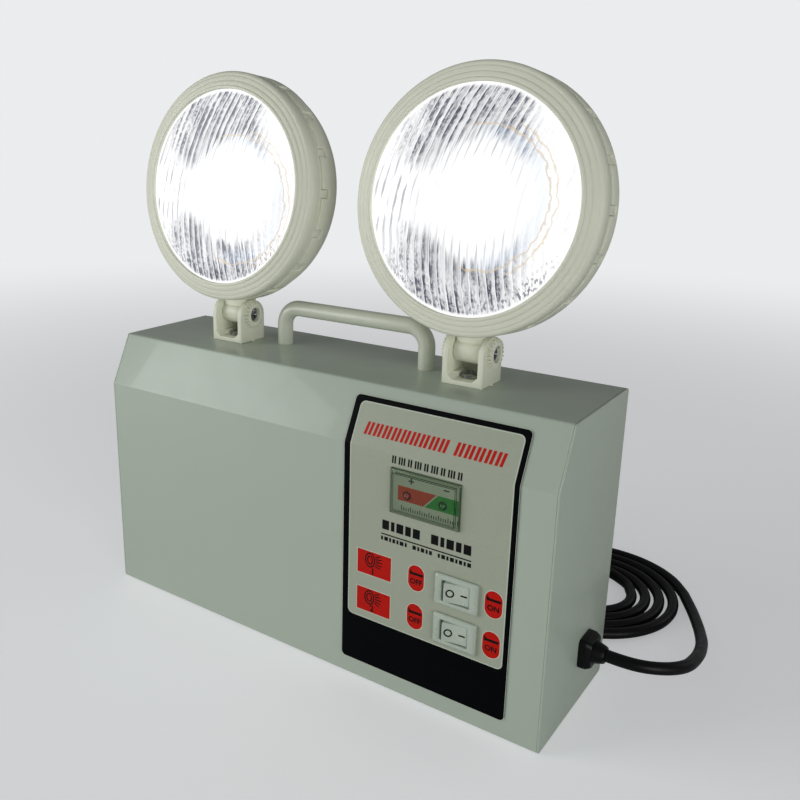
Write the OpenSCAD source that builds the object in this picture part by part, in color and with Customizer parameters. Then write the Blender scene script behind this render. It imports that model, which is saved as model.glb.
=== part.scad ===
// Twin-head emergency light: a folded steel case that holds the battery and charger, with two
// round lamp heads on swivelling yokes and a carrying handle between them.
// X runs to the right, the front faces -Y and Z is up. The origin is the middle of the
// underside of the case. All lengths are in millimetres.

/* [Case] */
// Width of the case
case_w = 270; // [264:1:310]
// Depth of the case
case_d = 79; // [77:1:100]
// Height of the case
case_h = 151; // [149:1:185]
// Height at which the front starts to slant
slant_z = 124; // [121:1:132]
// How far the slanting face leans back
slant_depth = 13; // [9:1:16]
// Thickness of the sheet steel
sheet_t = 1; // [0.8:0.1:1.2]
// Outside radius of the bends in the sheet
bend_r = 1.6; // [1.4:0.1:2.4]
// Width of the flanges that carry the rear cover
flange_w = 12; // [10:1:15]
// How far the handle and the heads sit left of the middle
top_shift_w = 2.2; // [0:0.1:4]

/* [Rear cover] */
// Gap round the rear cover
cover_gap = 0.4; // [0.2:0.1:0.8]
// Distance between the two keyholes for hanging the light
keyhole_spacing_w = 160; // [120:5:190]
// Height of the keyholes
keyhole_z = 112; // [90:1:118]
// Radius of a keyhole's round entry
keyhole_r = 4; // [3.5:0.1:5]
// Width of a keyhole's narrow slot
keyhole_slot_w = 4.2; // [3.6:0.1:4.6]
// Length of a keyhole's narrow slot above its entry's centre
keyhole_slot_l = 9; // [7:0.5:12]

/* [Label panel] */
// Width of the label panel
label_w = 89.4; // [84:0.2:92]
// Distance of the label panel's middle from the middle of the case
label_x = 73.5; // [70:0.5:78]
// Height of the label panel's lower edge
label_z = 9.6; // [6:0.2:20]
// Share of the slanting face that the label panel climbs
label_top_share = 0.8; // [0.6:0.01:0.85]
// Corner radius of the label panel
label_r = 2.5; // [1.5:0.5:9]
// Thickness of the label panel
label_t = 0.5; // [0.3:0.1:0.8]

/* [Meter] */
// Width of the meter's clear cover
meter_w = 36.3; // [33:0.1:40]
// Height of the meter's clear cover
meter_h = 22.4; // [20:0.1:25]
// How far the meter's cover stands out of the label panel
meter_t = 3; // [2.8:0.1:4.5]
// Height of the meter's middle
meter_z = 106.8; // [100:0.2:110]
// Width of the slope round the cover's face
meter_bevel_w = 1.8; // [1.2:0.1:2.4]
// Wall of the cover
meter_wall = 0.9; // [0.6:0.1:1.2]
// Thickness of the meter's scale plate
scale_t = 0.6; // [0.4:0.1:0.8]
// Radius of the charge and discharge lamps
led_r = 1.5; // [1.4:0.05:1.6]
// Distance between the two small lamps
led_spacing_w = 18.4; // [14:0.2:22]
// How far the small lamps sit below the meter's middle
led_drop_h = 1; // [0:0.1:3]

/* [Switches] */
// Width of a switch's bezel
bezel_w = 21.6; // [20.4:0.1:23]
// Height of a switch's bezel
bezel_h = 15.4; // [14:0.1:17]
// How far a bezel stands out of the label panel
bezel_t = 2; // [1.6:0.1:2.4]
// Distance of the switches from the middle of the case
switch_x = 91.7; // [88:0.1:96]
// Height of the lower switch
switch_z = 45.6; // [42:0.1:46]
// Distance from the lower switch up to the upper one
switch_pitch_h = 20; // [18:0.1:22]
// Width of the switch body behind the panel
body_w = 18.8; // [18.4:0.1:19]
// Height of the switch body behind the panel
body_h = 12.6; // [12.4:0.1:13]
// Depth of the switch body
body_l = 14; // [13:0.5:16]
// Width of a rocker
rocker_w = 12.2; // [11.8:0.1:14.6]
// Height of a rocker
rocker_h = 9.6; // [9.4:0.1:10.2]
// How far a rocker turns from one side to the other
rocker_throw = 24; // [18:1:24]
// Radius of a rocker's pivot pins
trunnion_r = 1.4; // [1.2:0.1:1.6]

/* [Handle] */
// Thickness of the handle's rod
rod_d = 8.5; // [7.5:0.1:9]
// Distance from a lamp head's swivel axis to the handle's leg beside it
leg_inset_w = 28.5; // [28:0.5:31]
// Height of the rod's middle above the case
handle_rise_h = 20.8; // [18:0.1:21]
// Radius of the bends, to the middle of the rod
handle_bend_r = 10; // [8:0.5:14]
// Distance of the handle behind the middle of the case
handle_y = 11; // [10:0.5:14]
// Radius of the threaded end below each leg
stud_r = 2.5; // [2.2:0.1:3]
// Length of the threaded end, through the sheet
stud_l = 8; // [7:0.5:10]

/* [Yokes] */
// Distance between the two lamp heads
head_spacing_w = 147; // [146:1:152]
// Distance of the swivel axis behind the middle of the case
pan_y = 3.9; // [3:0.1:7]
// Width of a yoke
yoke_w = 21.2; // [21:0.2:24]
// Depth of a yoke
yoke_d = 19.8; // [19.4:0.2:24]
// Thickness of a yoke's floor
yoke_floor_t = 2.3; // [1.8:0.1:2.8]
// Thickness of a yoke's ears
ear_t = 2.8; // [2.4:0.1:3.2]
// Radius of the round top of an ear
ear_r = 8.1; // [7.8:0.1:8.2]
// Radius of the corners beside an ear's round top
ear_corner_r = 4; // [2:0.5:6]
// Height of the tilt axis above the case
hinge_z = 15.1; // [14.6:0.1:17]
// How far the tilt axis lies behind the swivel axis
hinge_back_d = 0.2; // [0:0.1:1.6]
// Radius of the toothed boss round the tilt screw
boss_r = 8; // [7:0.1:8.2]
// Radius of the boss's outer end
boss_end_r = 6.5; // [6.2:0.1:7]
// How far the toothed boss stands out of the ear
boss_t = 2.2; // [1.6:0.1:2.4]
// Number of teeth round the boss
boss_teeth = 22; // [12:1:24]
// Size of the fillets inside the foot of the ears
gusset_w = 2.7; // [2:0.1:3]
// Thickness of the wall between the ears at the back
rear_wall_t = 2.8; // [2.4:0.1:3]
// Height of that wall
rear_wall_h = 11.5; // [9:0.1:12]

/* [Lamp heads] */
// Angle at which the heads look up in the rest pose
rest_tilt = 6; // [0:1:8]
// Distance of the lens in front of the tilt axis
lens_forward_d = 20.1; // [20:0.1:25]
// Height of the lens's middle above the tilt axis
lens_up_h = 68.1; // [68:0.1:72]
// Outside radius of the front ring
ring_r = 60.2; // [59:0.1:60.4]
// Radius of the lens that shows inside the ring
lens_r = 50.9; // [50:0.1:51.4]
// Wall of the ring's skirt
ring_wall = 2.2; // [1.8:0.1:2.6]
// How far the raised band stands out of the skirt
band_t = 0.9; // [0.6:0.1:1.2]
// Distance from the lens back to the end of the raised band
band_end_l = 8.5; // [7.5:0.1:9]
// Distance from the lens back to the end of the skirt
skirt_end_l = 11; // [10.6:0.1:12]
// Distance from the lens back to the end of the tabs
tab_end_l = 16; // [14:0.1:16.4]
// Distance from the lens back to the end of the housing's rim
rim_end_l = 19; // [18:0.1:19.4]
// Number of tabs round the ring
tab_count = 18; // [12:1:20]
// Width of a tab
tab_w = 4; // [3.4:0.1:6]
// Width of the lip that holds the lens
lip_w = 1.6; // [1.2:0.1:2]
// How far the lip stands in front of the lens's edge
lip_proud_h = 0.6; // [0.3:0.1:1]
// Width of a step in the ring's face
step_w = 2.5; // [2:0.1:2.6]
// Drop of a step in the ring's face
step_drop_h = 0.7; // [0.4:0.1:0.9]
// Radius of the ring's rounded shoulder
shoulder_r = 2.4; // [1.6:0.1:2.6]
// Thickness of the rear housing
housing_wall = 2; // [1.6:0.1:2.4]
// Distance from the lens back to the housing's back
housing_depth = 46; // [44:0.5:50]
// Radius of the housing's flat back
housing_back_r = 16; // [14.5:0.5:20]
// Radius of the knuckle that turns in the yoke
knuckle_r = 5.8; // [5:0.1:6.2]
// Width of the neck where it joins the housing
neck_w = 27; // [24:0.5:32]

/* [Lens and lamp] */
// Thickness of the lens's edge
lens_edge_t = 2.4; // [2:0.1:2.6]
// Rise of the lens's front from its edge to its middle
lens_rise_h = 2.6; // [1.5:0.1:3]
// Number of flutes across the lens
flute_count = 25; // [19:2:31]
// Depth of a flute
flute_depth = 1.1; // [0.6:0.1:1.4]
// Thickness of the reflector
reflector_t = 1; // [0.8:0.1:1.2]
// Radius of the hole in the reflector's back
reflector_hole_r = 9; // [8.6:0.1:10]
// Depth of the reflector's bowl
reflector_depth = 33; // [30:0.5:33]
// Radius of the lamp's glass
bulb_r = 5.5; // [4:0.1:6]
// Length of the lamp's glass
bulb_l = 17; // [14:0.5:18]
// Radius of the lamp's metal base
base_r = 7; // [6.4:0.1:7.4]
// Radius of the lamp's socket
socket_r = 10; // [9:0.1:11]

/* [Battery] */
// Width of the battery
battery_w = 70; // [66:1:72]
// Depth of the battery
battery_d = 47; // [45:1:50]
// Height of the battery
battery_h = 101; // [95:1:102]
// Distance of the battery's middle left of the middle of the case
battery_x = 82; // [80:1:84]
// Gap between the battery and the rear cover
battery_gap = 4; // [3:0.5:6]
// Width of the strap over the battery
strap_w = 20; // [16:1:26]

/* [Electronics] */
// Width of the transformer's core
core_w = 48; // [44:1:50]
// Height of the transformer's core
core_h = 40; // [38:1:44]
// Depth of the transformer's core
core_d = 20; // [18:1:24]
// Distance of the transformer's middle left of the middle of the case
core_x = 2; // [0:1:4]
// Width of the charger board
board_w = 70; // [66:1:74]
// Depth of the charger board
board_d = 50; // [46:1:52]
// Thickness of the circuit boards
board_t = 1.6; // [1.2:0.1:2]
// Height of the posts under the charger board
post_h = 8; // [6:0.5:10]
// Distance of the charger board's middle from the middle of the case
board_x = 78; // [76:1:80]
// Gap between the charger board and the rear cover
board_gap = 6.5; // [5:0.5:9]

/* [Fasteners] */
// Radius of the heads of the screws under the yokes
swivel_head_r = 4.8; // [4.4:0.1:5]
// Height of those heads
swivel_head_h = 3; // [2.6:0.1:3.4]
// Radius of the screws under the yokes and through the ears
pivot_r = 2; // [1.8:0.1:2.2]
// Radius of the tilt screws' heads
pivot_head_r = 3.7; // [3.4:0.1:4]
// Height of the tilt screws' heads
pivot_head_h = 2.2; // [1.8:0.1:2.4]
// Width of their nuts across the flats
nut_af = 7; // [6.6:0.1:7.4]
// Height of their nuts
nut_h = 3.2; // [2.4:0.1:3.2]
// Width of the handle's nuts across the flats
stud_nut_af = 9; // [8.4:0.1:10]
// Radius of the rear cover's screws
cover_screw_r = 1.5; // [1.3:0.1:1.7]
// Radius of the rear cover's screw heads
cover_head_r = 2.9; // [2.6:0.1:3.2]
// Height of the rear cover's screw heads
cover_head_h = 1.6; // [1.2:0.1:2]
// Length of the rear cover's screws
cover_screw_l = 6; // [5:0.5:8]

/* [Cord] */
// Thickness of the power cord
cord_d = 6; // [5.4:0.1:6]
// Height of the cord's bushing in the right end
gland_z = 29; // [28:0.5:32]
// Distance of the bushing behind the middle of the case
gland_y = 9; // [8:0.5:10]
// Width of the bushing's head
gland_w = 15; // [13:0.5:17]
// How far the bushing stands out of the case
gland_l = 11; // [11:0.1:11.4]
// Number of turns in the cord's coil
coil_turns = 4; // [2:1:4]
// Distance from one turn of the coil to the next
coil_pitch_w = 7.6; // [7.5:0.1:7.7]

/* [Plug] */
// Width of the plug's face
plug_w = 35.3; // [34:0.1:36]
// Thickness of the plug
plug_t = 14; // [13.4:0.1:14.2]
// Length of the plug's body
plug_l = 34; // [32:0.5:38]
// Radius of the plug's pins
pin_r = 2; // [1.9:0.05:2.2]
// Length of the plug's pins
pin_l = 19; // [17:0.5:20]
// Distance between the plug's pins
pin_spacing_w = 18.6; // [17:0.1:19]

/* [Fits] */
// Radial clearance of a turning fit
running_gap = 0.08; // [0.04:0.01:0.1]
// Gap between parts that sit beside each other
side_gap = 0.15; // [0.1:0.05:0.25]
// Gap round a part in its cut-out
cutout_gap = 0.2; // [0.15:0.05:0.3]

/* [Hidden] */

$fn = 48;
over = 1;             // overrun of a cutting shape past the face that it cuts
arc_steps = 6;        // chords in a bend of the sheet
touch_gap = 0.1;          // air between pieces that rest on each other

paint_green = [0.70, 0.75, 0.69];
ivory = [0.80, 0.80, 0.71];
steel = [0.72, 0.73, 0.75];
black = [0.05, 0.05, 0.055];

front_y = -case_d / 2;
back_y = case_d / 2;
inner_w = case_w - 2 * sheet_t;
shell_back = back_y - sheet_t;
battery_y = shell_back - sheet_t - battery_gap - battery_d / 2;
board_y = shell_back - sheet_t - board_gap - board_d / 2;
slant_angle = atan2(slant_depth, case_h - slant_z);
label_y = front_y - label_t;
bezel_y = label_y - bezel_t;
left = -1;
right = 1;

// Plane geometry

function unit(v) = v / norm(v);
// A corner moved into its polygon so that both edges move in by g
function moved_corner(a, b, c, g) =
    let (u = unit(a - b), w = unit(c - b)) b + unit(u + w) * g / sqrt((1 - u * w) / 2);
function moved_in(pts, g) = let (n = len(pts))
    [for (i = [0:n - 1]) moved_corner(pts[(i + n - 1) % n], pts[i], pts[(i + 1) % n], g)];
// The arc of radius r that rounds corner b
function corner_arc(a, b, c, r, steps) =
    let (
        u = unit(a - b), w = unit(c - b),
        half_sin = sqrt((1 - u * w) / 2), half_cos = sqrt((1 + u * w) / 2),
        m = b + unit(u + w) * r / half_sin,
        p = b + u * r * half_cos / half_sin, q = b + w * r * half_cos / half_sin,
        a0 = atan2(p.y - m.y, p.x - m.x), a1 = atan2(q.y - m.y, q.x - m.x),
        turn = (a1 - a0 + 540) % 360 - 180
    )
    [for (i = [0:steps]) m + r * [cos(a0 + turn * i / steps), sin(a0 + turn * i / steps)]];
function rounded(pts, r, steps) = let (n = len(pts))
    [for (i = [0:n - 1])
        each corner_arc(pts[(i + n - 1) % n], pts[i], pts[(i + 1) % n], r, steps)];
// Where the line from p touches the circle at c, on side s
function tangent_point(p, c, r, s) =
    let (d = p - c, a = atan2(d.y, d.x), b = acos(r / norm(d))) c + r * [cos(a + s * b), sin(a + s * b)];

// A drawing in (Y, Z), drawn out along X from x0
module along_x(x0, length) translate([x0, 0, 0]) rotate([90, 0, 90]) linear_extrude(length) children();
// A drawing in (X, Z), drawn out backwards from y0
module along_y(y0, length)
    translate([0, y0 + length, 0]) rotate([90, 0, 0]) linear_extrude(length) children();
module round_rect(w, h, r) {
    square([w - 2 * r, h], center = true);
    square([w, h - 2 * r], center = true);
    for (sx = [-1, 1], sy = [-1, 1]) translate([sx * (w / 2 - r), sy * (h / 2 - r)]) circle(r);
}
module hexagon(across_flats) circle(d = across_flats / cos(30), $fn = 6);

// Case

// The outline of the case seen from the right, as far back as back
function case_outline(back) = [
    [front_y, 0], [front_y, slant_z], [front_y + slant_depth, case_h], [back, case_h], [back, 0]];

yoke_hole_r = pivot_r + running_gap;
handle_hole_r = stud_r + cutout_gap;
led_hole_r = led_r + cutout_gap;
handle_span_w = head_spacing_w - 2 * leg_inset_w;
function head_x(side) = side * head_spacing_w / 2 - top_shift_w;
function handle_x(side) = side * handle_span_w / 2 - top_shift_w;
function led_x(side) = label_x + side * led_spacing_w / 2;
led_z = meter_z - led_drop_h;
switch_heights = [switch_z, switch_z + switch_pitch_h];

module front_holes() {
    for (z = switch_heights)
        translate([switch_x, z]) square([body_w + 2 * cutout_gap, body_h + 2 * cutout_gap], center = true);
    for (side = [left, right]) translate([led_x(side), led_z]) circle(led_hole_r);
}

module case_shell() color(paint_green) difference() {
    along_x(-inner_w / 2, inner_w) polygon(rounded(case_outline(shell_back), bend_r, arc_steps));
    along_x(-inner_w / 2 - over, inner_w + 2 * over)
        polygon(rounded(moved_in(case_outline(shell_back), sheet_t), bend_r - sheet_t, arc_steps));
    translate([-inner_w / 2 - over, shell_back - sheet_t - over, flange_w])
        cube([inner_w + 2 * over, sheet_t + 2 * over, case_h - 2 * flange_w]);
    along_y(front_y - over, sheet_t + 2 * over) front_holes();
    for (side = [left, right]) {
        translate([head_x(side), pan_y, case_h - sheet_t - over])
            cylinder(r = yoke_hole_r, h = sheet_t + 2 * over);
        translate([handle_x(side), handle_y, case_h - sheet_t - over])
            cylinder(r = handle_hole_r, h = sheet_t + 2 * over);
    }
}

rear_screw_z_shares = [0.16, 0.5, 0.82];
rear_screw_x = inner_w / 2 - flange_w / 2;
bushing_hole_r = gland_w * 0.4;

// A plain end plate with a flange behind the rear cover. side is left or right
module end_panel(side) color(paint_green) difference() {
    union() {
        along_x(side > 0 ? inner_w / 2 : -case_w / 2, sheet_t)
            polygon(rounded(case_outline(back_y), bend_r, arc_steps));
        translate([side > 0 ? inner_w / 2 - flange_w : -inner_w / 2, shell_back - sheet_t, flange_w + cover_gap])
            cube([flange_w, sheet_t, case_h - 2 * (flange_w + cover_gap)]);
    }
    for (share = rear_screw_z_shares)
        translate([side * rear_screw_x, shell_back - sheet_t - over, case_h * share])
            rotate([-90, 0, 0]) cylinder(r = cover_screw_r + side_gap, h = sheet_t + 2 * over);
    if (side > 0) translate([inner_w / 2 - over, gland_y, gland_z])
        rotate([0, 90, 0]) cylinder(r = bushing_hole_r, h = sheet_t + 2 * over);
}

module left_end_panel() end_panel(left);
module right_end_panel() end_panel(right);

module rear_cover() color(paint_green) difference() {
    translate([-inner_w / 2 + cover_gap, shell_back, cover_gap])
        cube([inner_w - 2 * cover_gap, sheet_t, case_h - 2 * cover_gap]);
    for (side = [left, right]) {
        along_y(shell_back - over, sheet_t + 2 * over) translate([side * keyhole_spacing_w / 2, keyhole_z]) {
            circle(keyhole_r);
            translate([-keyhole_slot_w / 2, 0]) square([keyhole_slot_w, keyhole_slot_l]);
            translate([0, keyhole_slot_l]) circle(keyhole_slot_w / 2);
        }
        for (share = rear_screw_z_shares) translate([side * rear_screw_x, shell_back - over, case_h * share])
            rotate([-90, 0, 0]) cylinder(r = cover_screw_r + side_gap, h = sheet_t + 2 * over);
    }
}

// A round-headed screw whose head stands on Z = 0 and whose shank points down
module pan_screw(r, l, head_r, head_h) {
    translate([0, 0, -l]) cylinder(r = r, h = l);
    rotate_extrude() intersection() {
        square([head_r, head_h]);
        translate([0, head_h - head_r * 1.45]) circle(head_r * 1.45);
    }
}

module rear_cover_screws() color(steel) for (side = [left, right], share = rear_screw_z_shares)
    translate([side * rear_screw_x, back_y, case_h * share]) rotate([-90, 0, 0])
        pan_screw(cover_screw_r, cover_screw_l, cover_head_r, cover_head_h);

// Label panel and meter

slant_dir = unit([slant_depth, case_h - slant_z]);
slant_len = norm([slant_depth, case_h - slant_z]);
slant_out = [-slant_dir.y, slant_dir.x];
label_top = slant_len * label_top_share;

// The label's section: a thin strip that follows the front and the slanting face
function label_section() =
    let (
        low = [front_y, label_z], bend = [front_y, slant_z], top = bend + slant_dir * label_top,
        out = [-1, 0], knee = (out + slant_out) * label_t / (1 + out * slant_out)
    )
    [low, low + out * label_t, bend + knee, top + slant_out * label_t, top, bend];

module label_panel() color(black) difference() {
    intersection() {
        along_x(label_x - label_w / 2, label_w) polygon(label_section());
        along_y(front_y - case_d / 4, case_d) translate([label_x, label_z + case_h / 2])
            round_rect(label_w, case_h, label_r);
        translate([label_x, front_y, slant_z]) rotate([-slant_angle, 0, 0])
            along_y(-case_d, 2 * case_d) translate([0, label_top - case_h / 2])
                round_rect(label_w, case_h, label_r);
        translate([label_x - label_w / 2 - over, front_y - case_d / 4, 0])
            cube([label_w + 2 * over, case_d, case_h]);
    }
    along_y(label_y - over, label_t + 2 * over) front_holes();
}

meter_rim = 0.8;                               // straight foot of the meter's cover

// A drawing of the cover across one way, size wide, with its wall moved in by g
function cover_section(size, g) = let (w = size / 2 - g, t = meter_t - g) [
    [-w, 0], [-w, -meter_rim], [-w + meter_bevel_w, -t], [w - meter_bevel_w, -t], [w, -meter_rim], [w, 0]];

// The cover's block, with its base on the label panel
module meter_block(g) translate([label_x, label_y, meter_z]) intersection() {
    translate([0, 0, -meter_h]) linear_extrude(2 * meter_h) polygon(cover_section(meter_w, g));
    along_x(-meter_w, 2 * meter_w) polygon([for (p = cover_section(meter_h, g)) [p.y, p.x]]);
}

module meter_cover() color([0.85, 0.92, 0.90, 0.35]) difference() {
    meter_block(0);
    translate([0, over / 100, 0]) meter_block(meter_wall);
}

module meter_scale() color([0.80, 0.25, 0.15])
    along_y(label_y - scale_t, scale_t) difference() {
        translate([label_x, meter_z]) square(
            [meter_w - 2 * (meter_wall + side_gap), meter_h - 2 * (meter_wall + side_gap)], center = true);
        for (side = [left, right]) translate([led_x(side), led_z]) circle(led_hole_r);
    }

led_collar = 0.4;                              // width of the collar at a lamp's foot
led_collar_r = led_r + led_collar;
led_leg = 0.5;                                 // thickness of a lamp's wires
led_front = label_y - meter_t + meter_wall + side_gap;
led_seat = front_y + sheet_t + side_gap;
led_collar_t = 1;                              // thickness of a lamp's collar
led_stand_l = 5;                                 // distance from a lamp's collar to the indicator board
indicator_y = led_seat + led_stand_l;

// A small round-nosed lamp that looks out through the panel, with its wires behind
module led(x) translate([x, 0, led_z]) {
    rotate([90, 0, 0]) {
        translate([0, 0, -led_seat]) cylinder(r = led_r, h = led_seat - led_front - led_r);
        translate([0, 0, -led_front - led_r]) sphere(led_r);
        translate([0, 0, -led_seat - led_collar_t]) cylinder(r = led_collar_r, h = led_collar_t);
    }
    for (side = [left, right])
        translate([side * led_r / 2 - led_leg / 2, led_seat + led_collar_t, -led_leg / 2])
            cube([led_leg, indicator_y - led_seat - led_collar_t, led_leg]);
}

module charge_led() color([0.85, 0.12, 0.10]) led(led_x(left));
module discharge_led() color([0.15, 0.75, 0.25]) led(led_x(right));

indicator_post_r = 2;                          // radius of the indicator board's posts

module indicator_board() color([0.15, 0.45, 0.25]) {
    along_y(indicator_y, board_t) translate([label_x, meter_z]) square([meter_w, meter_h], center = true);
    for (side = [left, right])
        translate([label_x + side * (meter_w / 2 - indicator_post_r), indicator_y, meter_z])
            rotate([90, 0, 0]) cylinder(r = indicator_post_r, h = indicator_y - front_y - sheet_t);
}

// Rocker switches

pivot_depth = 3.6;                             // depth of the rockers' axis behind the bezel's face
pivot_y = bezel_y + pivot_depth;
rocker_proud_h = 0.6;                            // how far a level rocker would stand out of its bezel
rocker_face = bezel_y - pivot_y - rocker_proud_h;
rocker_dip_h = 1.1;                              // hollow between a rocker's two faces
rocker_foot_size = [5, 2];                          // half width and depth of a rocker's underside
well_gap = 0.9;                                // gap at each end of a rocker
well_w = rocker_w + 2 * well_gap;
well_h = rocker_h + 2 * cutout_gap;
well_depth = 6;                                // depth of the well behind the rockers' axis
well_back = pivot_y + well_depth;
trunnion_l = 1;                                // length of a rocker's pivot pin
bezel_r = 1.2;                                 // corner radius of a bezel
bezel_step_w = 0.6;                              // width and height of the step round a bezel's face
terminal_w = 4.8;                              // width of a terminal
terminal_t = 0.8;                              // thickness of a terminal
terminal_l = 7;                                // length of a terminal

module switch_housing(z) color([0.88, 0.88, 0.84]) difference() {
    union() {
        along_y(bezel_y + bezel_step_w, bezel_t - bezel_step_w) translate([switch_x, z])
            round_rect(bezel_w, bezel_h, bezel_r);
        along_y(bezel_y, bezel_step_w) translate([switch_x, z])
            round_rect(bezel_w - 2 * bezel_step_w, bezel_h - 2 * bezel_step_w, bezel_r);
        along_y(label_y, body_l) translate([switch_x, z]) square([body_w, body_h], center = true);
    }
    along_y(bezel_y - over, well_back - bezel_y + over) translate([switch_x, z])
        square([well_w, well_h], center = true);
    translate([switch_x, pivot_y, z - rocker_h / 2 - trunnion_l - side_gap])
        cylinder(r = trunnion_r + running_gap, h = rocker_h + 2 * (trunnion_l + side_gap));
}

module upper_switch() switch_housing(switch_heights[1]);
module lower_switch() switch_housing(switch_heights[0]);

// A rocker with its right-hand side pressed in, as at rest
module rocker(z) color([0.93, 0.93, 0.90]) translate([switch_x, pivot_y, z]) rotate([0, 0, rocker_throw / 2]) {
    translate([0, 0, -rocker_h / 2]) linear_extrude(rocker_h) polygon([
        [-rocker_w / 2, rocker_face], [0, rocker_face + rocker_dip_h], [rocker_w / 2, rocker_face],
        rocker_foot_size, [-rocker_foot_size.x, rocker_foot_size.y]]);
    translate([0, 0, -rocker_h / 2 - trunnion_l]) cylinder(r = trunnion_r, h = rocker_h + 2 * trunnion_l);
}

module upper_rocker() rocker(switch_heights[1]);
module lower_rocker() rocker(switch_heights[0]);

module switch_terminals() color([0.80, 0.65, 0.30]) for (z = switch_heights, side = [left, right])
    translate([switch_x + side * terminal_w - terminal_t / 2, label_y + body_l, z - terminal_w / 2])
        cube([terminal_t, terminal_l, terminal_w]);

// Handle

handle_leg = handle_rise_h - handle_bend_r;

module handle() color(ivory) translate([-top_shift_w, handle_y, case_h]) {
    for (side = [left, right]) {
        translate([side * handle_span_w / 2, 0, 0]) cylinder(d = rod_d, h = handle_leg);
        translate([side * handle_span_w / 2, 0, -sheet_t - stud_l]) cylinder(r = stud_r, h = sheet_t + stud_l);
        translate([side * (handle_span_w / 2 - handle_bend_r), 0, handle_leg])
            rotate([90, 0, side > 0 ? 0 : 180]) rotate_extrude(angle = 90) translate([handle_bend_r, 0])
                circle(d = rod_d);
    }
    translate([-handle_span_w / 2 + handle_bend_r, 0, handle_rise_h]) rotate([0, 90, 0])
        cylinder(d = rod_d, h = handle_span_w - 2 * handle_bend_r);
}

module handle_nuts() color(steel) for (side = [left, right])
    translate([handle_x(side), handle_y, case_h - sheet_t - nut_h]) linear_extrude(nut_h) difference() {
        hexagon(stud_nut_af);
        circle(stud_r + running_gap);
    }

// Yokes

screw_end_l = 2;                                 // length of a swivel screw past its nut
swivel_l = sheet_t + nut_h + screw_end_l;
ear_gap = yoke_w - 2 * ear_t;
recess_r = pivot_head_r + cutout_gap;
recess_sink_d = 0.6;                           // how far the tilt screw's pockets sink into an ear
recess_d = boss_t + recess_sink_d;
block_size = [2.6, 8, 2.7];                         // small block beside the swivel screw
pip_r = 0.9;                                   // radius of the moulding pip at a yoke's foot
tooth_r = 0.55;                                // radius of the hollows between the boss's teeth

// An ear seen from the side, in (Y, Z) round the swivel axis
module ear_outline() hull() {
    translate([-yoke_d / 2, 0]) square([yoke_d, yoke_floor_t]);
    for (end = [-1, 1]) translate([end * (yoke_d / 2 - ear_corner_r), hinge_z]) circle(ear_corner_r);
    translate([hinge_back_d, hinge_z]) circle(ear_r);
}

// The toothed boss, standing on its wide end
module boss() linear_extrude(boss_t, scale = boss_end_r / boss_r) difference() {
    circle(boss_r);
    for (i = [0:boss_teeth - 1]) rotate(i * 360 / boss_teeth) translate([boss_r, 0]) circle(tooth_r, $fn = 16);
}

module yoke(side) color(ivory) translate([head_x(side), pan_y, case_h]) difference() {
    union() {
        translate([-yoke_w / 2, -yoke_d / 2, 0]) cube([yoke_w, yoke_d, yoke_floor_t]);
        for (ear = [-1, 1]) {
            along_x(ear > 0 ? ear_gap / 2 : -yoke_w / 2, ear_t) ear_outline();
            translate([ear * yoke_w / 2, hinge_back_d, hinge_z]) rotate([0, ear * 90, 0]) boss();
            translate([ear * ear_gap / 2, -yoke_d / 2, yoke_floor_t]) rotate([-90, 0, 0]) linear_extrude(yoke_d)
                polygon([[0, 0], [-ear * gusset_w, 0], [0, -gusset_w]]);
        }
        translate([-ear_gap / 2, yoke_d / 2 - rear_wall_t, 0]) cube([ear_gap, rear_wall_t, rear_wall_h]);
        translate([-ear_gap / 2, -block_size.y / 2, 0])
            cube([block_size.x, block_size.y, yoke_floor_t + block_size.z]);
        translate([yoke_w / 2, 0, 0]) cylinder(r = pip_r, h = pip_r);
    }
    translate([0, 0, -over]) cylinder(r = yoke_hole_r, h = yoke_floor_t + 2 * over);
    translate([-yoke_w / 2 - boss_t - over, hinge_back_d, hinge_z]) rotate([0, 90, 0])
        cylinder(r = pivot_r + running_gap, h = yoke_w + 2 * (boss_t + over));
    translate([yoke_w / 2 + boss_t - recess_d, hinge_back_d, hinge_z]) rotate([0, 90, 0])
        cylinder(r = recess_r, h = recess_d + over);
    translate([-yoke_w / 2 - boss_t - over, hinge_back_d, hinge_z]) rotate([0, 90, 0])
        linear_extrude(recess_d + over) hexagon(nut_af + 2 * side_gap);
}

module left_yoke() yoke(left);
module right_yoke() yoke(right);

module swivel_screws() color(steel) for (side = [left, right])
    translate([head_x(side), pan_y, case_h + yoke_floor_t + touch_gap])
        pan_screw(pivot_r, yoke_floor_t + touch_gap + swivel_l, swivel_head_r, swivel_head_h);

module swivel_nuts() color(steel) for (side = [left, right])
    translate([head_x(side), pan_y, case_h - sheet_t - nut_h]) linear_extrude(nut_h) difference() {
        hexagon(nut_af);
        circle(yoke_hole_r);
    }

tilt_y = pan_y + hinge_back_d;
tilt_z = case_h + hinge_z;
tilt_seat = yoke_w / 2 + boss_t - recess_d;

// The screw through both ears, with its head on the right
module tilt_screw(side) color(steel) translate([head_x(side), tilt_y, tilt_z])
    translate([tilt_seat, 0, 0]) rotate([0, 90, 0])
        pan_screw(pivot_r, 2 * tilt_seat + nut_h * 0.8, pivot_head_r, pivot_head_h);

module left_tilt_screw() tilt_screw(left);
module right_tilt_screw() tilt_screw(right);

module tilt_nut(side) color(steel) translate([head_x(side) - tilt_seat - nut_h, tilt_y, tilt_z])
    rotate([0, 90, 0]) linear_extrude(nut_h) difference() {
        hexagon(nut_af);
        circle(pivot_r + running_gap);
    }

module left_tilt_nut() tilt_nut(left);
module right_tilt_nut() tilt_nut(right);

// Lamp heads

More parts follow.
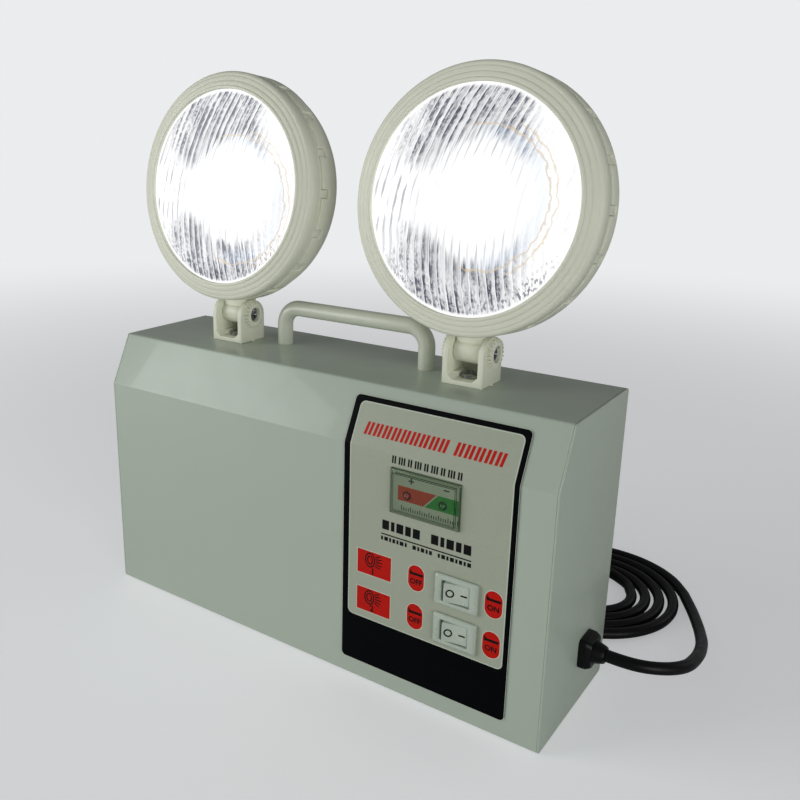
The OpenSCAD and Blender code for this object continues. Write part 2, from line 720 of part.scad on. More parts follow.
// Children drawn round the lens's middle: their Z points forwards and their Y up
module facing(side) translate([head_x(side), tilt_y, tilt_z]) rotate([-rest_tilt, 0, 0])
    translate([0, -lens_forward_d, lens_up_h]) rotate([90, 0, 0]) children();

seat_z = 1.6;                                  // distance from the lens's plane back to its seat
pocket_r = 54.5;                               // radius of the pocket that the lens sits in
skirt_r = ring_r - band_t;
skirt_in = skirt_r - ring_wall;
lens_back = seat_z + lens_edge_t;
steps_share = [1, 2];
lip_edge_r = 0.5;                                // rounding of the lip's inner edge
band_in = lens_r + lip_w;

// The ring's section in (radius, height in front of the lens's plane)
function ring_section() = concat(
    [[lens_r, -seat_z], [lens_r, lip_proud_h - lip_edge_r], [lens_r + lip_edge_r, lip_proud_h],
        [band_in, lip_proud_h]],
    [for (k = steps_share) each [
        [band_in + (k - 1) * step_w, lip_proud_h - k * step_drop_h],
        [band_in + k * step_w, lip_proud_h - k * step_drop_h - step_drop_h / 4]]],
    [for (i = [0:arc_steps]) let (a = 90 - 90 * i / arc_steps)
        [ring_r - shoulder_r, lip_proud_h - 3 * step_drop_h - shoulder_r] + shoulder_r * [cos(a), sin(a)]],
    [[ring_r, -band_end_l], [skirt_r, -band_end_l], [skirt_r, -skirt_end_l], [skirt_in, -skirt_end_l],
        [skirt_in, -lens_back - touch_gap], [pocket_r, -lens_back - touch_gap], [pocket_r, -seat_z]]
);

module ring(side) color(ivory) facing(side) {
    rotate_extrude($fn = 96) polygon(ring_section());
    for (i = [0:tab_count - 1]) rotate(i * 360 / tab_count) translate([0, 0, -tab_end_l])
        linear_extrude(tab_end_l - skirt_end_l) intersection() {
            difference() {
                circle(skirt_r, $fn = 96);
                circle(skirt_in, $fn = 96);
            }
            translate([skirt_in - ring_wall, -tab_w / 2]) square([3 * ring_wall, tab_w]);
        }
}

module left_ring() ring(left);
module right_ring() ring(right);

collar_r = skirt_in - side_gap;
collar_in = collar_r - housing_wall;
collar_z = lens_back + reflector_t + 2 * touch_gap;
pad_z = skirt_end_l + cutout_gap;
notch_w = tab_w + 2 * cutout_gap;
dome_steps = 8;                                // chords in the housing's dome
rim_round_r = 1.6;                               // rounding of the housing's rim into its dome

// The housing's dome in (radius, height behind the lens's plane), moved in by g
function dome(g) = [for (i = [0:dome_steps]) let (a = 90 * i / dome_steps)
    [housing_back_r + (ring_r - rim_round_r - g - housing_back_r) * cos(a),
        -rim_end_l - rim_round_r / 2 - (housing_depth - rim_end_l - rim_round_r / 2 - g) * sin(a)]];

neck_front = 3.2;                              // distance of the neck's front before the tilt axis
neck_root = 4.6;                               // the same at the top of the knuckle
neck_back = 12;                                // distance of the neck's back behind the tilt axis
neck_back_z = 19;                              // height at which the neck's back meets the dome
neck_turn = 9.7;                               // height over the tilt axis where the neck widens
neck_h = 24;                                   // height to which the neck runs into the housing
neck_slope = 7;                                // height over which the neck widens

module neck_side() polygon([
    [-knuckle_r, 0], [-neck_root, knuckle_r], [-neck_front, neck_turn], [-neck_front, neck_h],
    [neck_back, neck_h], [neck_back, neck_back_z], [knuckle_r, neck_turn], [knuckle_r, 0]]);
module neck_face() let (w = ear_gap / 2 - side_gap) polygon([
    [-w, 0], [-w, neck_turn], [-neck_w / 2, neck_turn + neck_slope], [-neck_w / 2, 2 * neck_h],
    [neck_w / 2, 2 * neck_h], [neck_w / 2, neck_turn + neck_slope], [w, neck_turn], [w, 0]]);

module housing(side) color(ivory) difference() {
    union() {
        facing(side) rotate_extrude($fn = 96) polygon(concat(
            [[0, -collar_z], [collar_r, -collar_z], [collar_r, -pad_z], [ring_r, -pad_z], [ring_r, -rim_end_l]],
            dome(0), [[0, -housing_depth]]));
        translate([head_x(side), tilt_y, tilt_z]) rotate([-rest_tilt, 0, 0]) {
            translate([-ear_gap / 2 + side_gap, 0, 0]) rotate([0, 90, 0])
                cylinder(r = knuckle_r, h = ear_gap - 2 * side_gap);
            intersection() {
                along_x(-neck_w, 2 * neck_w) neck_side();
                along_y(-neck_w, 3 * neck_w) neck_face();
            }
        }
    }
    facing(side) {
        rotate_extrude($fn = 96) polygon(concat([[0, over], [collar_in, over], [collar_in, -rim_end_l]],
            dome(housing_wall), [[0, -housing_depth + housing_wall]]));
        for (i = [0:tab_count - 1]) rotate(i * 360 / tab_count)
            translate([0, 0, -tab_end_l - cutout_gap]) linear_extrude(tab_end_l - skirt_end_l + over)
                intersection() {
                    difference() {
                        circle(ring_r + over, $fn = 96);
                        circle(collar_r - cutout_gap, $fn = 96);
                    }
                    translate([collar_r - ring_wall, -notch_w / 2]) square([ring_wall * 4, notch_w]);
                }
    }
    translate([head_x(side) - ear_gap / 2 - over, tilt_y, tilt_z]) rotate([0, 90, 0])
        cylinder(r = pivot_r + running_gap, h = ear_gap + 2 * over);
}

module left_housing() housing(left);
module right_housing() housing(right);

lens_edge_r = pocket_r - side_gap;
lens_clear = 0.3;                              // how far the fluted disc stays inside the ring, and its overlap
flute_disc_r = lens_r - lens_clear;
flute_w = 2 * flute_disc_r / flute_count;
flute_shares = [[0, 0], [0.2, 0.62], [0.5, 1], [0.8, 0.62]];
cap_r = (flute_disc_r ^ 2 + lens_rise_h ^ 2) / (2 * lens_rise_h);

// The lens: a flat edge and a slightly domed disc with upright flutes on its back
module lens(side) color([0.90, 0.93, 0.93, 0.35]) facing(side) {
    translate([0, 0, -lens_back]) linear_extrude(lens_edge_t) difference() {
        circle(lens_edge_r, $fn = 96);
        circle(flute_disc_r - lens_clear, $fn = 96);
    }
    intersection() {
        translate([0, 0, lens_rise_h - seat_z - cap_r]) rotate_extrude($fn = 128) intersection() {
            circle(cap_r, $fn = 720);
            translate([0, cap_r - lens_rise_h - lens_edge_t - flute_depth])
                square([flute_disc_r, lens_rise_h + lens_edge_t + flute_depth]);
        }
        translate([0, flute_disc_r, 0]) rotate([90, 0, 0]) linear_extrude(2 * flute_disc_r) polygon(concat(
            [for (i = [0:flute_count - 1], s = flute_shares)
                [-flute_disc_r + (i + s.x) * flute_w, -lens_back + flute_depth * s.y]],
            [[flute_disc_r, -lens_back], [flute_disc_r, lens_rise_h], [-flute_disc_r, lens_rise_h]]));
    }
}

module left_lens() lens(left);
module right_lens() lens(right);

reflector_front = lens_back + touch_gap;
bowl_rim_w = 1.8;                                // width of the flat rim round the bowl's mouth
reflector_rim_r = collar_in - bowl_rim_w;
bowl_steps = 10;                               // chords in the reflector's bowl

// The reflector's parabola in (radius, height), moved back by g
function bowl(g) = [for (i = [0:bowl_steps])
    let (r = reflector_hole_r + (reflector_rim_r - reflector_hole_r) * i / bowl_steps,
        s = (r ^ 2 - reflector_hole_r ^ 2) / (reflector_rim_r ^ 2 - reflector_hole_r ^ 2))
    [r, -reflector_front - reflector_depth * (1 - s) - g]];
function backwards(list) = [for (i = [len(list) - 1:-1:0]) list[i]];

module reflector(side) color([0.82, 0.83, 0.85]) facing(side) rotate_extrude($fn = 96) polygon(concat(
    bowl(0), [[collar_r, -reflector_front], [collar_r, -reflector_front - reflector_t]],
    backwards(bowl(reflector_t))));

module left_reflector() reflector(left);
module right_reflector() reflector(right);

socket_front = reflector_front + reflector_depth + reflector_t + touch_gap;
socket_back = housing_depth - housing_wall;
base_l = 8;                                    // length of the lamp's metal base
base_flange = 0.8;                             // width of the base's flange
flange_t = 1;                                  // thickness of the base's flange

module lamp_socket(side) color([0.90, 0.90, 0.88]) facing(side) {
    translate([0, 0, -socket_back]) cylinder(r = socket_r, h = socket_back - socket_front);
}

module left_lamp_socket() lamp_socket(left);
module right_lamp_socket() lamp_socket(right);

module lamp(side) color([0.95, 0.95, 0.85]) facing(side) translate([0, 0, -socket_front]) {
    cylinder(r = base_r, h = base_l);
    cylinder(r = base_r + base_flange, h = flange_t);
    translate([0, 0, base_l]) cylinder(r = bulb_r, h = bulb_l - bulb_r);
    translate([0, 0, base_l + bulb_l - bulb_r]) sphere(bulb_r);
}

module left_lamp() lamp(left);
module right_lamp() lamp(right);

// Battery and charger

battery_floor = sheet_t;
battery_top = battery_floor + battery_h;
terminal_inset_share = 0.3;
tab_size = [0.8, 6.3, 8];                      // a battery terminal
foot_w = 12;                                   // length of the strap's feet

module battery() color([0.20, 0.22, 0.25]) translate([-battery_x, battery_y, battery_floor]) {
    linear_extrude(battery_h) round_rect(battery_w, battery_d, bend_r);
}

module battery_terminals() color([0.80, 0.65, 0.30]) for (side = [left, right])
    translate([-battery_x + side * battery_w * terminal_inset_share - tab_size.x / 2,
        battery_y - battery_d / 2 + tab_size.y, battery_top])
        cube(tab_size);

// A strap of sheet over the middle of the battery, with a foot on each side
module battery_strap() color(steel) along_y(battery_y, strap_w) difference() {
    translate([-battery_x - battery_w / 2 - side_gap - sheet_t - foot_w, battery_floor])
        square([battery_w + 2 * (side_gap + sheet_t + foot_w), battery_h + side_gap + sheet_t]);
    translate([-battery_x - battery_w / 2 - side_gap, battery_floor - over])
        square([battery_w + 2 * side_gap, battery_h + side_gap + over]);
    for (side = [left, right])
        translate([-battery_x + side * (battery_w / 2 + side_gap + sheet_t + foot_w / 2 + over / 2),
            battery_floor + sheet_t + battery_h / 2 + over])
            square([foot_w + over, battery_h + 2 * over], center = true);
}

leg_share = 1 / 3;                             // width of the core's middle leg
window_h_share = 0.6;
coil_bulge_w = 7;                                // how far the winding stands out of the core

module transformer_core() color([0.45, 0.45, 0.47])
    along_y(battery_y - core_d / 2, core_d) translate([-core_x, sheet_t + core_h / 2]) difference() {
        square([core_w, core_h], center = true);
        for (side = [left, right]) translate([side * core_w * leg_share * 3 / 4, 0])
            square([core_w * leg_share / 2, core_h * window_h_share], center = true);
    }

module transformer_coil() color([0.75, 0.45, 0.20]) difference() {
    translate([-core_x, battery_y, sheet_t + core_h / 2]) cube(
        [core_w * leg_share * 2 - 2 * side_gap, core_d + 2 * coil_bulge_w,
            core_h * window_h_share - 2 * side_gap],
        center = true);
    translate([-core_x, battery_y, sheet_t + core_h / 2])
        cube([core_w * leg_share + 2 * side_gap, core_d + 2 * side_gap, core_h], center = true);
}

board_z = sheet_t + post_h;
board_top = board_z + board_t;
post_r = 2.5;                                  // radius of the board's posts
relay_size = [19, 15.5, 15.5];
capacitor_r = 5;                               // radius of the capacitors
capacitor_h = 12;                              // height of the capacitors
fuse_r = 2.6;                                  // radius of the glass fuse
fuse_l = 20;                                   // length of the glass fuse
clip_size = [1.2, 6, 7];                            // a fuse clip

module charger_board() color([0.15, 0.45, 0.25])
    translate([board_x, board_y, board_z]) linear_extrude(board_t) square([board_w, board_d], center = true);

module board_posts() color(steel) for (sx = [left, right], sy = [-1, 1])
    translate([board_x + sx * (board_w / 2 - post_r), board_y + sy * (board_d / 2 - post_r), sheet_t])
        cylinder(r = post_r, h = post_h);

module relay() color([0.15, 0.25, 0.55])
    translate([board_x - board_w * 0.33, board_y, board_top + relay_size.z / 2]) cube(relay_size, center = true);

module capacitors() color([0.15, 0.15, 0.35]) for (side = [left, right])
    translate([board_x + side * (capacitor_r + 2 * post_r), board_y + board_d / 4, board_top])
        cylinder(r = capacitor_r, h = capacitor_h);

module fuse() color([0.75, 0.76, 0.78]) translate([board_x, board_y - board_d / 4, board_top]) {
    for (side = [left, right])
        translate([side * (fuse_l / 2 - clip_size.x) - clip_size.x / 2, -clip_size.y / 2, 0]) cube(clip_size);
    translate([-fuse_l / 2, 0, clip_size.z - fuse_r]) rotate([0, 90, 0]) cylinder(r = fuse_r, h = fuse_l);
}

// Power cord

gland_head = 6;                                // thickness of the bushing's square head
gland_r = 2.2;                                 // corner radius of the bushing's head
gland_tail = 8;                                // length of the bushing inside the case
gland_nose_r = [5.4, 4.2];                     // radius of the bushing's tapered nose at its foot and tip

module strain_relief() color(black) translate([case_w / 2, gland_y, gland_z]) {
    rotate([0, 90, 0]) {
        linear_extrude(gland_head) round_rect(gland_w, gland_w, gland_r);
        translate([0, 0, gland_head])
            cylinder(r1 = gland_nose_r.x, r2 = gland_nose_r.y, h = gland_l - gland_head);
        translate([0, 0, -sheet_t]) cylinder(r = bushing_hole_r - cutout_gap, h = sheet_t);
        translate([0, 0, -sheet_t - gland_tail]) linear_extrude(gland_tail)
            round_rect(gland_w * 0.9, gland_w * 0.9, gland_r);
    }
}

cord_r = cord_d / 2;
floor_z = 3.1;                                 // height of the cord's middle where it lies
coil_middle = [102, 112];
coil_r = 55;                                   // radius at which the coil starts
coil_start = 30;                               // angle at which the coil starts, from +X
ring_count = 24;                               // rings in one turn of the coil
cord_sides = 10;
coil_sides = 6;

// The way from the bushing back to the coil
lead_route = [
    [146, 9, 29], [153, 9, 29], [159.6, 9.9, 28.9], [165.7, 12.4, 28.6], [171, 16.5, 28], [175.1, 21.8, 27.1],
    [177.6, 27.9, 25.9], [178.5, 34.5, 24.4], [178.5, 46, 21.4], [177.2, 60, 17.3], [174.6, 75, 13],
    [170.6, 90, 9.2], [165.6, 105, 6.2], [159.6, 120, 4.1]];
// The way from the coil, over its turns and on to the plug
tail_route = [
    [114.5, 133.6, 3.4], [108.4, 135.9, 4.1], [102, 136.5, 5.1], [95.7, 135.5, 6.3], [89.9, 133, 7.6],
    [84.7, 129.3, 8.8], [80.3, 124.8, 9.6], [73.5, 117.5, 9.9], [66, 110.8, 9.9], [57, 105, 9.9],
    [47, 100, 9.7], [37, 96, 8], [27, 92.5, 5.4], [16, 89.5, 3.6], [4, 87, 3.1], [-8, 84.5, 3.1],
    [-20, 81.5, 3.1], [-32, 78.5, 3.2], [-44, 76, 4], [-55, 75, 5.6], [-64, 75, 6.8], [-71, 75, 7.1],
    [-78, 75, 7.1]];

// The way round the coil: out of the lead, inwards turn by turn, and on along the last tangent
coil_route = let (
        last = coil_turns * ring_count,
        turn = [for (i = [0:last])
            let (a = coil_start + 360 * i / ring_count, r = coil_r - coil_pitch_w * i / ring_count)
            [coil_middle.x + r * cos(a), coil_middle.y + r * sin(a), floor_z]],
        along = [-sin(coil_start), cos(coil_start), 0]
    )
    concat([turn[0] - along * cord_d], turn, [turn[last] + along * cord_d]);

function way(route, i) = unit(route[min(i + 1, len(route) - 1)] - route[max(i - 1, 0)]);
// A ring of points square to the route at its point i, turned by aim
function tube_ring(route, i, r, n, aim) = let (
        t = is_undef(aim) ? way(route, i) : aim,
        s = unit(cross(t, [0, 0, 1])), u = cross(s, t)
    )
    [for (k = [0:n - 1]) route[i] + r * (cos(360 * k / n) * s + sin(360 * k / n) * u)];

// A tube of radius r and n sides along a route, with its ends square to aims[0] and aims[1]
module tube(route, r, n, aims) {
    last = len(route) - 1;
    points = [for (i = [0:last])
        each tube_ring(route, i, r, n, i == 0 ? aims[0] : i == last ? aims[1] : undef)];
    polyhedron(points, concat(
        [for (i = [0:last - 1], k = [0:n - 1]) each let (
                a = i * n + k, b = i * n + (k + 1) % n, c = a + n, d = b + n)
            [[a, c, b], [b, c, d]]],
        [for (k = [1:n - 2]) [0, k, k + 1]],
        [for (k = [1:n - 2]) [last * n, last * n + k + 1, last * n + k]]));
}

function total(v, i = 0) = i < len(v) ? v[i] + total(v, i + 1) : 0;
function length_of(route) = total([for (i = [1:len(route) - 1]) norm(route[i] - route[i - 1])]);
// The least gap between the coil's turns, over pairs of points at least half a turn apart
coil_gap = min([for (i = [0:len(coil_route) - 1], j = [i + ring_count / 2:1:len(coil_route) - 1])
    norm(coil_route[i] - coil_route[j])]) - cord_d;

lead_full = concat(lead_route, [coil_route[0]]);
tail_full = concat([coil_route[len(coil_route) - 1]], tail_route);

lead_aim = unit(lead_route[1] - lead_route[0]);
coil_aim = [-sin(coil_start), cos(coil_start), 0];
plug_aim = unit(tail_route[len(tail_route) - 1] - tail_route[len(tail_route) - 2]);

module power_cord() color(black) tube(lead_full, cord_r, cord_sides, [lead_aim, coil_aim]);
module cord_coil() color(black) {
    echo(coil_least_gap = coil_gap);
    echo(cord_length = length_of(lead_full) + length_of(coil_route) + length_of(tail_full));
    tube(coil_route, cord_r, coil_sides, [coil_aim, coil_aim]);
}
module cord_tail() color(black) tube(tail_full, cord_r, cord_sides, [coil_aim, plug_aim]);

// Plug

plug_at = tail_route[len(tail_route) - 1];
plug_slices = [[0, 0.26, 0.62], [0.3, 0.36, 0.78], [0.62, 0.9, 1], [1, 1, 1]];
slice_t = 0.8;                                 // thickness of a slice of the plug's body
plug_r = 3;                                    // corner radius of the plug's body

// The plug's body, lofted from the cord's collar to the face with the pins
module plug_body() color(black) translate(plug_at) rotate([0, -90, 0]) {
    for (i = [0:len(plug_slices) - 2]) hull() for (s = [plug_slices[i], plug_slices[i + 1]])
        translate([0, 0, s[0] * (plug_l - slice_t)]) linear_extrude(slice_t)
            round_rect(plug_t * s[2], plug_w * s[1], plug_r, $fn = 20);
}

module plug_pins() color(steel) for (side = [left, right])
    translate([plug_at.x - plug_l, plug_at.y + side * pin_spacing_w / 2, plug_at.z]) rotate([0, -90, 0]) {
        cylinder(r = pin_r, h = pin_l - pin_r);
        translate([0, 0, pin_l - pin_r]) sphere(pin_r);
    }

case_shell();
left_end_panel();
right_end_panel();
rear_cover();
rear_cover_screws();
label_panel();
meter_cover();
meter_scale();
charge_led();
discharge_led();
indicator_board();
upper_switch();
lower_switch();
upper_rocker();
lower_rocker();
switch_terminals();
handle();
handle_nuts();
battery();
battery_terminals();
battery_strap();
transformer_core();
transformer_coil();
charger_board();
board_posts();
relay();
capacitors();
fuse();
swivel_screws();
swivel_nuts();
left_yoke();
left_tilt_screw();
left_tilt_nut();
left_housing();
left_ring();
left_lens();
left_reflector();
left_lamp();
left_lamp_socket();
right_yoke();
right_tilt_screw();
right_tilt_nut();
right_housing();
right_ring();
right_lens();
right_reflector();
right_lamp();
right_lamp_socket();
strain_relief();
power_cord();
cord_coil();
cord_tail();
plug_body();
plug_pins();
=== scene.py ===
import math

import bmesh
import bpy
from mathutils import Matrix, Vector


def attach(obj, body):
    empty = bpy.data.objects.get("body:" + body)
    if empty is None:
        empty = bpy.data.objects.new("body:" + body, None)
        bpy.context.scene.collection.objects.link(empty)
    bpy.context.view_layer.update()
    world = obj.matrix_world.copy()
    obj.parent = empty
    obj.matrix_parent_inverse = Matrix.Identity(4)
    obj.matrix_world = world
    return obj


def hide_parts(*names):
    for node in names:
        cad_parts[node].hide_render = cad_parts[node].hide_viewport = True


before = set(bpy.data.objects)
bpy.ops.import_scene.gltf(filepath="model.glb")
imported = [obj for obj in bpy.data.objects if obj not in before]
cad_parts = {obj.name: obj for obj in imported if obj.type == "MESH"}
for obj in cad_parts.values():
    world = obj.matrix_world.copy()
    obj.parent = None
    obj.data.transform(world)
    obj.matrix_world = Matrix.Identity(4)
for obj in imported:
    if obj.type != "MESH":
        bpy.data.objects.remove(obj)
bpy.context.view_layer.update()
MM = 0.001

# Camera

AZIMUTH, ELEVATION, ROLL = 0.63221, 0.27405, 0.00596
EYE = Vector((0.24953, -0.35818, 0.26574))
FOCAL_PX, CENTRE_U, CENTRE_V, FRAME_PX = 869.05, 323.45, 374.52, 800
SENSOR_W = 36


def make_camera():
    data = bpy.data.cameras.new("camera")
    camera = bpy.data.objects.new("camera", data)
    bpy.context.scene.collection.objects.link(camera)
    forward = Vector((-math.sin(AZIMUTH) * math.cos(ELEVATION), math.cos(AZIMUTH) * math.cos(ELEVATION),
                      -math.sin(ELEVATION)))
    right = Vector((math.cos(AZIMUTH), math.sin(AZIMUTH), 0))
    up = right.cross(forward)
    right, up = right * math.cos(ROLL) + up * math.sin(ROLL), up * math.cos(ROLL) - right * math.sin(ROLL)
    camera.matrix_world = Matrix((
        (right.x, up.x, -forward.x, EYE.x),
        (right.y, up.y, -forward.y, EYE.y),
        (right.z, up.z, -forward.z, EYE.z),
        (0, 0, 0, 1)))
    data.sensor_fit = "HORIZONTAL"
    data.sensor_width = SENSOR_W
    data.lens = FOCAL_PX * SENSOR_W / FRAME_PX
    data.shift_x = (FRAME_PX / 2 - CENTRE_U) / FRAME_PX
    data.shift_y = (CENTRE_V - FRAME_PX / 2) / FRAME_PX
    data.clip_start = 0.01
    bpy.context.scene.camera = camera


# Cord, in millimetres until it is drawn

CORD_R = 3
COIL_X, COIL_Y, COIL_R, COIL_START, COIL_TURNS, COIL_PITCH, COIL_Z = 102, 112, 55, 30, 4, 7.6, 3.1
LEAD = [
    (146, 9, 29), (153, 9, 29), (159.6, 9.9, 28.9), (165.7, 12.4, 28.6), (171, 16.5, 28),
    (175.1, 21.8, 27.1), (177.6, 27.9, 25.9), (178.5, 34.5, 24.4), (178.5, 46, 21.4), (177.2, 60, 17.3),
    (174.6, 75, 13), (170.6, 90, 9.2), (165.6, 105, 6.2), (159.6, 120, 4.1)]
TAIL = [
    (114.5, 133.6, 3.4), (108.4, 135.9, 4.1), (102, 136.5, 5.1), (95.7, 135.5, 6.3), (89.9, 133, 7.6),
    (84.7, 129.3, 8.8), (80.3, 124.8, 9.6), (73.5, 117.5, 9.9), (66, 110.8, 9.9), (57, 105, 9.9),
    (47, 100, 9.7), (37, 96, 8), (27, 92.5, 5.4), (16, 89.5, 3.6), (4, 87, 3.1), (-8, 84.5, 3.1),
    (-20, 81.5, 3.1), (-32, 78.5, 3.2), (-44, 76, 4), (-55, 75, 5.6), (-64, 75, 6.8), (-71, 75, 7.1),
    (-78, 75, 7.1)]


def coil_route(steps=24):
    """The coil's turns from the outside in, with a straight start and end."""
    start = math.radians(COIL_START)
    along = Vector((-math.sin(start), math.cos(start), 0)) * 2 * CORD_R
    turn = []
    for i in range(COIL_TURNS * steps + 1):
        angle = start + math.tau * i / steps
        radius = COIL_R - COIL_PITCH * i / steps
        turn.append(Vector((COIL_X + radius * math.cos(angle), COIL_Y + radius * math.sin(angle), COIL_Z)))
    return [turn[0] - along] + turn + [turn[-1] + along]


def smooth_route(points, steps=4):
    """A smooth line through all the points."""
    points = [Vector(p) for p in points]
    ends = [2 * points[0] - points[1]] + points + [2 * points[-1] - points[-2]]
    out = []
    for a, b, c, d in zip(ends, ends[1:], ends[2:], ends[3:]):
        for k in range(steps):
            t = k / steps
            bend, twist = 2 * a - 5 * b + 4 * c - d, 3 * b - a - 3 * c + d
            out.append(0.5 * (2 * b + (c - a) * t + bend * t * t + twist * t ** 3))
    return out + [points[-1]]


# Materials: node trees on Object coordinates

def tone(r, g, b):
    """A colour given as it shows on a screen, from 0 to 255."""
    shares = [v / 255 for v in (r, g, b)]
    return tuple(v / 12.92 if v < 0.0404 else ((v + 0.055) / 1.055) ** 2.4 for v in shares) + (1,)


def scaled(colour, share):
    return tuple(v * share for v in colour[:3]) + (1,)


class Field:
    """A number that a shader works out at each point."""

    def __init__(self, shader, socket):
        self.shader, self.socket = shader, socket

    def do(self, operation, *others, clamp=False):
        values = [v.socket if isinstance(v, Field) else v for v in others]
        return Field(self.shader, self.shader.math(operation, self.socket, *values, clamp=clamp))

    def __add__(self, other):
        return self.do("ADD", other)

    def __sub__(self, other):
        return self.do("SUBTRACT", other)

    def __mul__(self, other):
        return self.do("MULTIPLY", other)

    def __truediv__(self, other):
        return self.do("DIVIDE", other)

    def smooth(self, low, high, start=0.0, end=1.0):
        node = self.shader.node("MapRange", interpolation_type="SMOOTHSTEP")
        self.shader.put(node.inputs["Value"], self.socket)
        for name, value in (("From Min", low), ("From Max", high), ("To Min", start), ("To Max", end)):
            node.inputs[name].default_value = value
        return Field(self.shader, node.outputs["Result"])


class Shader:
    """A material and the short ways to add nodes to it."""

    def __init__(self, name):
        self.material = bpy.data.materials.new(name)
        self.material.use_nodes = True
        self.tree = self.material.node_tree
        self.tree.nodes.clear()
        self.out = self.node("OutputMaterial")
        self.place = self.node("TexCoord").outputs["Object"]

    def node(self, kind, **settings):
        node = self.tree.nodes.new("ShaderNode" + kind)
        for name, value in settings.items():
            setattr(node, name, value)
        return node

    def put(self, socket, value):
        if isinstance(value, Field):
            value = value.socket
        if isinstance(value, bpy.types.NodeSocket):
            self.tree.links.new(value, socket)
        else:
            socket.default_value = value

    def math(self, operation, *values, clamp=False):
        node = self.node("Math", operation=operation, use_clamp=clamp)
        for socket, value in zip(node.inputs, values):
            self.put(socket, value)
        return node.outputs[0]

    def stretched(self, scale):
        node = self.node("Mapping")
        self.put(node.inputs["Vector"], self.place)
        node.inputs["Scale"].default_value = scale
        return node.outputs[0]

    def noise(self, scale, detail=2.0, roughness=0.5, vector=None):
        node = self.node("TexNoise")
        self.put(node.inputs["Vector"], vector or self.place)
        node.inputs["Scale"].default_value = scale
        node.inputs["Detail"].default_value = detail
        node.inputs["Roughness"].default_value = roughness
        return Field(self, node.outputs["Fac"])

    def cells(self, scale, vector=None):
        node = self.node("TexVoronoi")
        self.put(node.inputs["Vector"], vector or self.place)
        node.inputs["Scale"].default_value = scale
        return Field(self, node.outputs["Distance"])

    def facing(self, blend=0.5):
        node = self.node("LayerWeight")
        node.inputs["Blend"].default_value = blend
        return node.outputs["Facing"]

    def mix(self, share, a, b):
        node = self.node("Mix", data_type="RGBA")
        self.put(node.inputs[0], share)
        self.put(node.inputs[6], a)
        self.put(node.inputs[7], b)
        return node.outputs[2]

    def bump(self, height, distance, strength=1.0):
        node = self.node("Bump")
        node.inputs["Strength"].default_value = strength
        node.inputs["Distance"].default_value = distance
        self.put(node.inputs["Height"], height)
        return node.outputs[0]

    def surface(self, **sockets):
        node = self.node("BsdfPrincipled")
        for name, value in sockets.items():
            self.put(node.inputs[name.replace("_", " ")], value)
        self.put(self.out.inputs["Surface"], node.outputs[0])
        return self.material


def enamel(name, colour, roughness, grain, relief, coat=0.0, mottle=0.05, broad=18, gloss=0.5):
    """Paint or moulded plastic: a faint drift of colour, and a fine grain in its gloss and surface."""
    s = Shader(name)
    drift = s.noise(broad, 3).smooth(0.3, 0.7)
    rub = s.noise(broad * 9, 4, 0.6).smooth(0.35, 0.75, roughness - 0.05, roughness + 0.07)
    return s.surface(
        Base_Color=s.mix(drift, scaled(colour, 1 - mottle), scaled(colour, 1 + mottle)), Roughness=rub,
        Specular_IOR_Level=gloss, Normal=s.bump(s.noise(grain, 2), relief), Coat_Weight=coat,
        Coat_Roughness=0.06)


def metal(name, colour, roughness, grain=900):
    """Bare or plated metal with a fine grain."""
    s = Shader(name)
    fine = s.noise(grain, 3, 0.6)
    return s.surface(
        Base_Color=s.mix(s.noise(60, 3), scaled(colour, 0.88), colour), Metallic=1.0,
        Roughness=fine.smooth(0.3, 0.7, roughness * 0.7, roughness * 1.4), Normal=s.bump(fine, 0.000003))


def ink(name, colour, roughness=0.45, gloss=0.3, mottle=0.06):
    """Screen-printed ink."""
    s = Shader(name)
    fine = s.noise(700, 3, 0.6)
    return s.surface(
        Base_Color=s.mix(fine.smooth(0.3, 0.7), scaled(colour, 1 - mottle), scaled(colour, 1 + mottle)),
        Roughness=fine.smooth(0.3, 0.7, roughness - 0.06, roughness + 0.06), Specular_IOR_Level=gloss,
        Normal=s.bump(s.noise(1600, 1), 0.000001))


PAINT = enamel("case_paint_green", tone(180, 192, 177), 0.36, 900, 0.0000015, coat=0.18, mottle=0.012,
               broad=9, gloss=0.25)
HANDLE_PAINT = enamel("handle_paint_ivory", tone(203, 208, 191), 0.34, 900, 0.0000015, coat=0.3,
                      mottle=0.015)
CREAM = enamel("moulded_cream", tone(226, 228, 209), 0.42, 60, 0.000001, mottle=0.015, gloss=0.4)
WHITE = enamel("switch_white", tone(184, 195, 181), 0.3, 1500, 0.000001, mottle=0.015)
ROCKER = enamel("rocker_white", tone(190, 200, 186), 0.26, 1500, 0.0000008, mottle=0.015)
FOIL = enamel("foil_black", tone(2, 3, 5), 0.5, 1400, 0.0000006, mottle=0.2, gloss=0.05)
FIELD = ink("foil_field", tone(169, 176, 157), 0.42, 0.3, 0.02)
PALE = ink("foil_line", tone(196, 206, 190), 0.4)
RED = ink("ink_red", tone(190, 20, 8), 0.45, 0.15)
GREEN = ink("ink_green", tone(34, 128, 40), 0.4)
SCALE_RED = ink("ink_scale_red", tone(172, 62, 28), 0.4)
BLACK = ink("ink_black", tone(7, 7, 9), 0.5, 0.15)
CHROME = metal("chrome", tone(225, 227, 230), 0.1)
SCREW = metal("screw_steel", tone(150, 152, 156), 0.12)
STEEL = metal("zinc_steel", tone(178, 181, 184), 0.3, grain=500)
BRASS = metal("tinned_brass", tone(205, 178, 112), 0.28)
RUBBER = enamel("cord_rubber", tone(5, 5, 6), 0.42, 1300, 0.000003, mottle=0.25, gloss=0.2)
NYLON = enamel("bushing_nylon", tone(4, 4, 5), 0.4, 1500, 0.000002, mottle=0.25, gloss=0.2)


# Mesh tools, in millimetres

MERGE, FLAT = 0.0005, 0.002


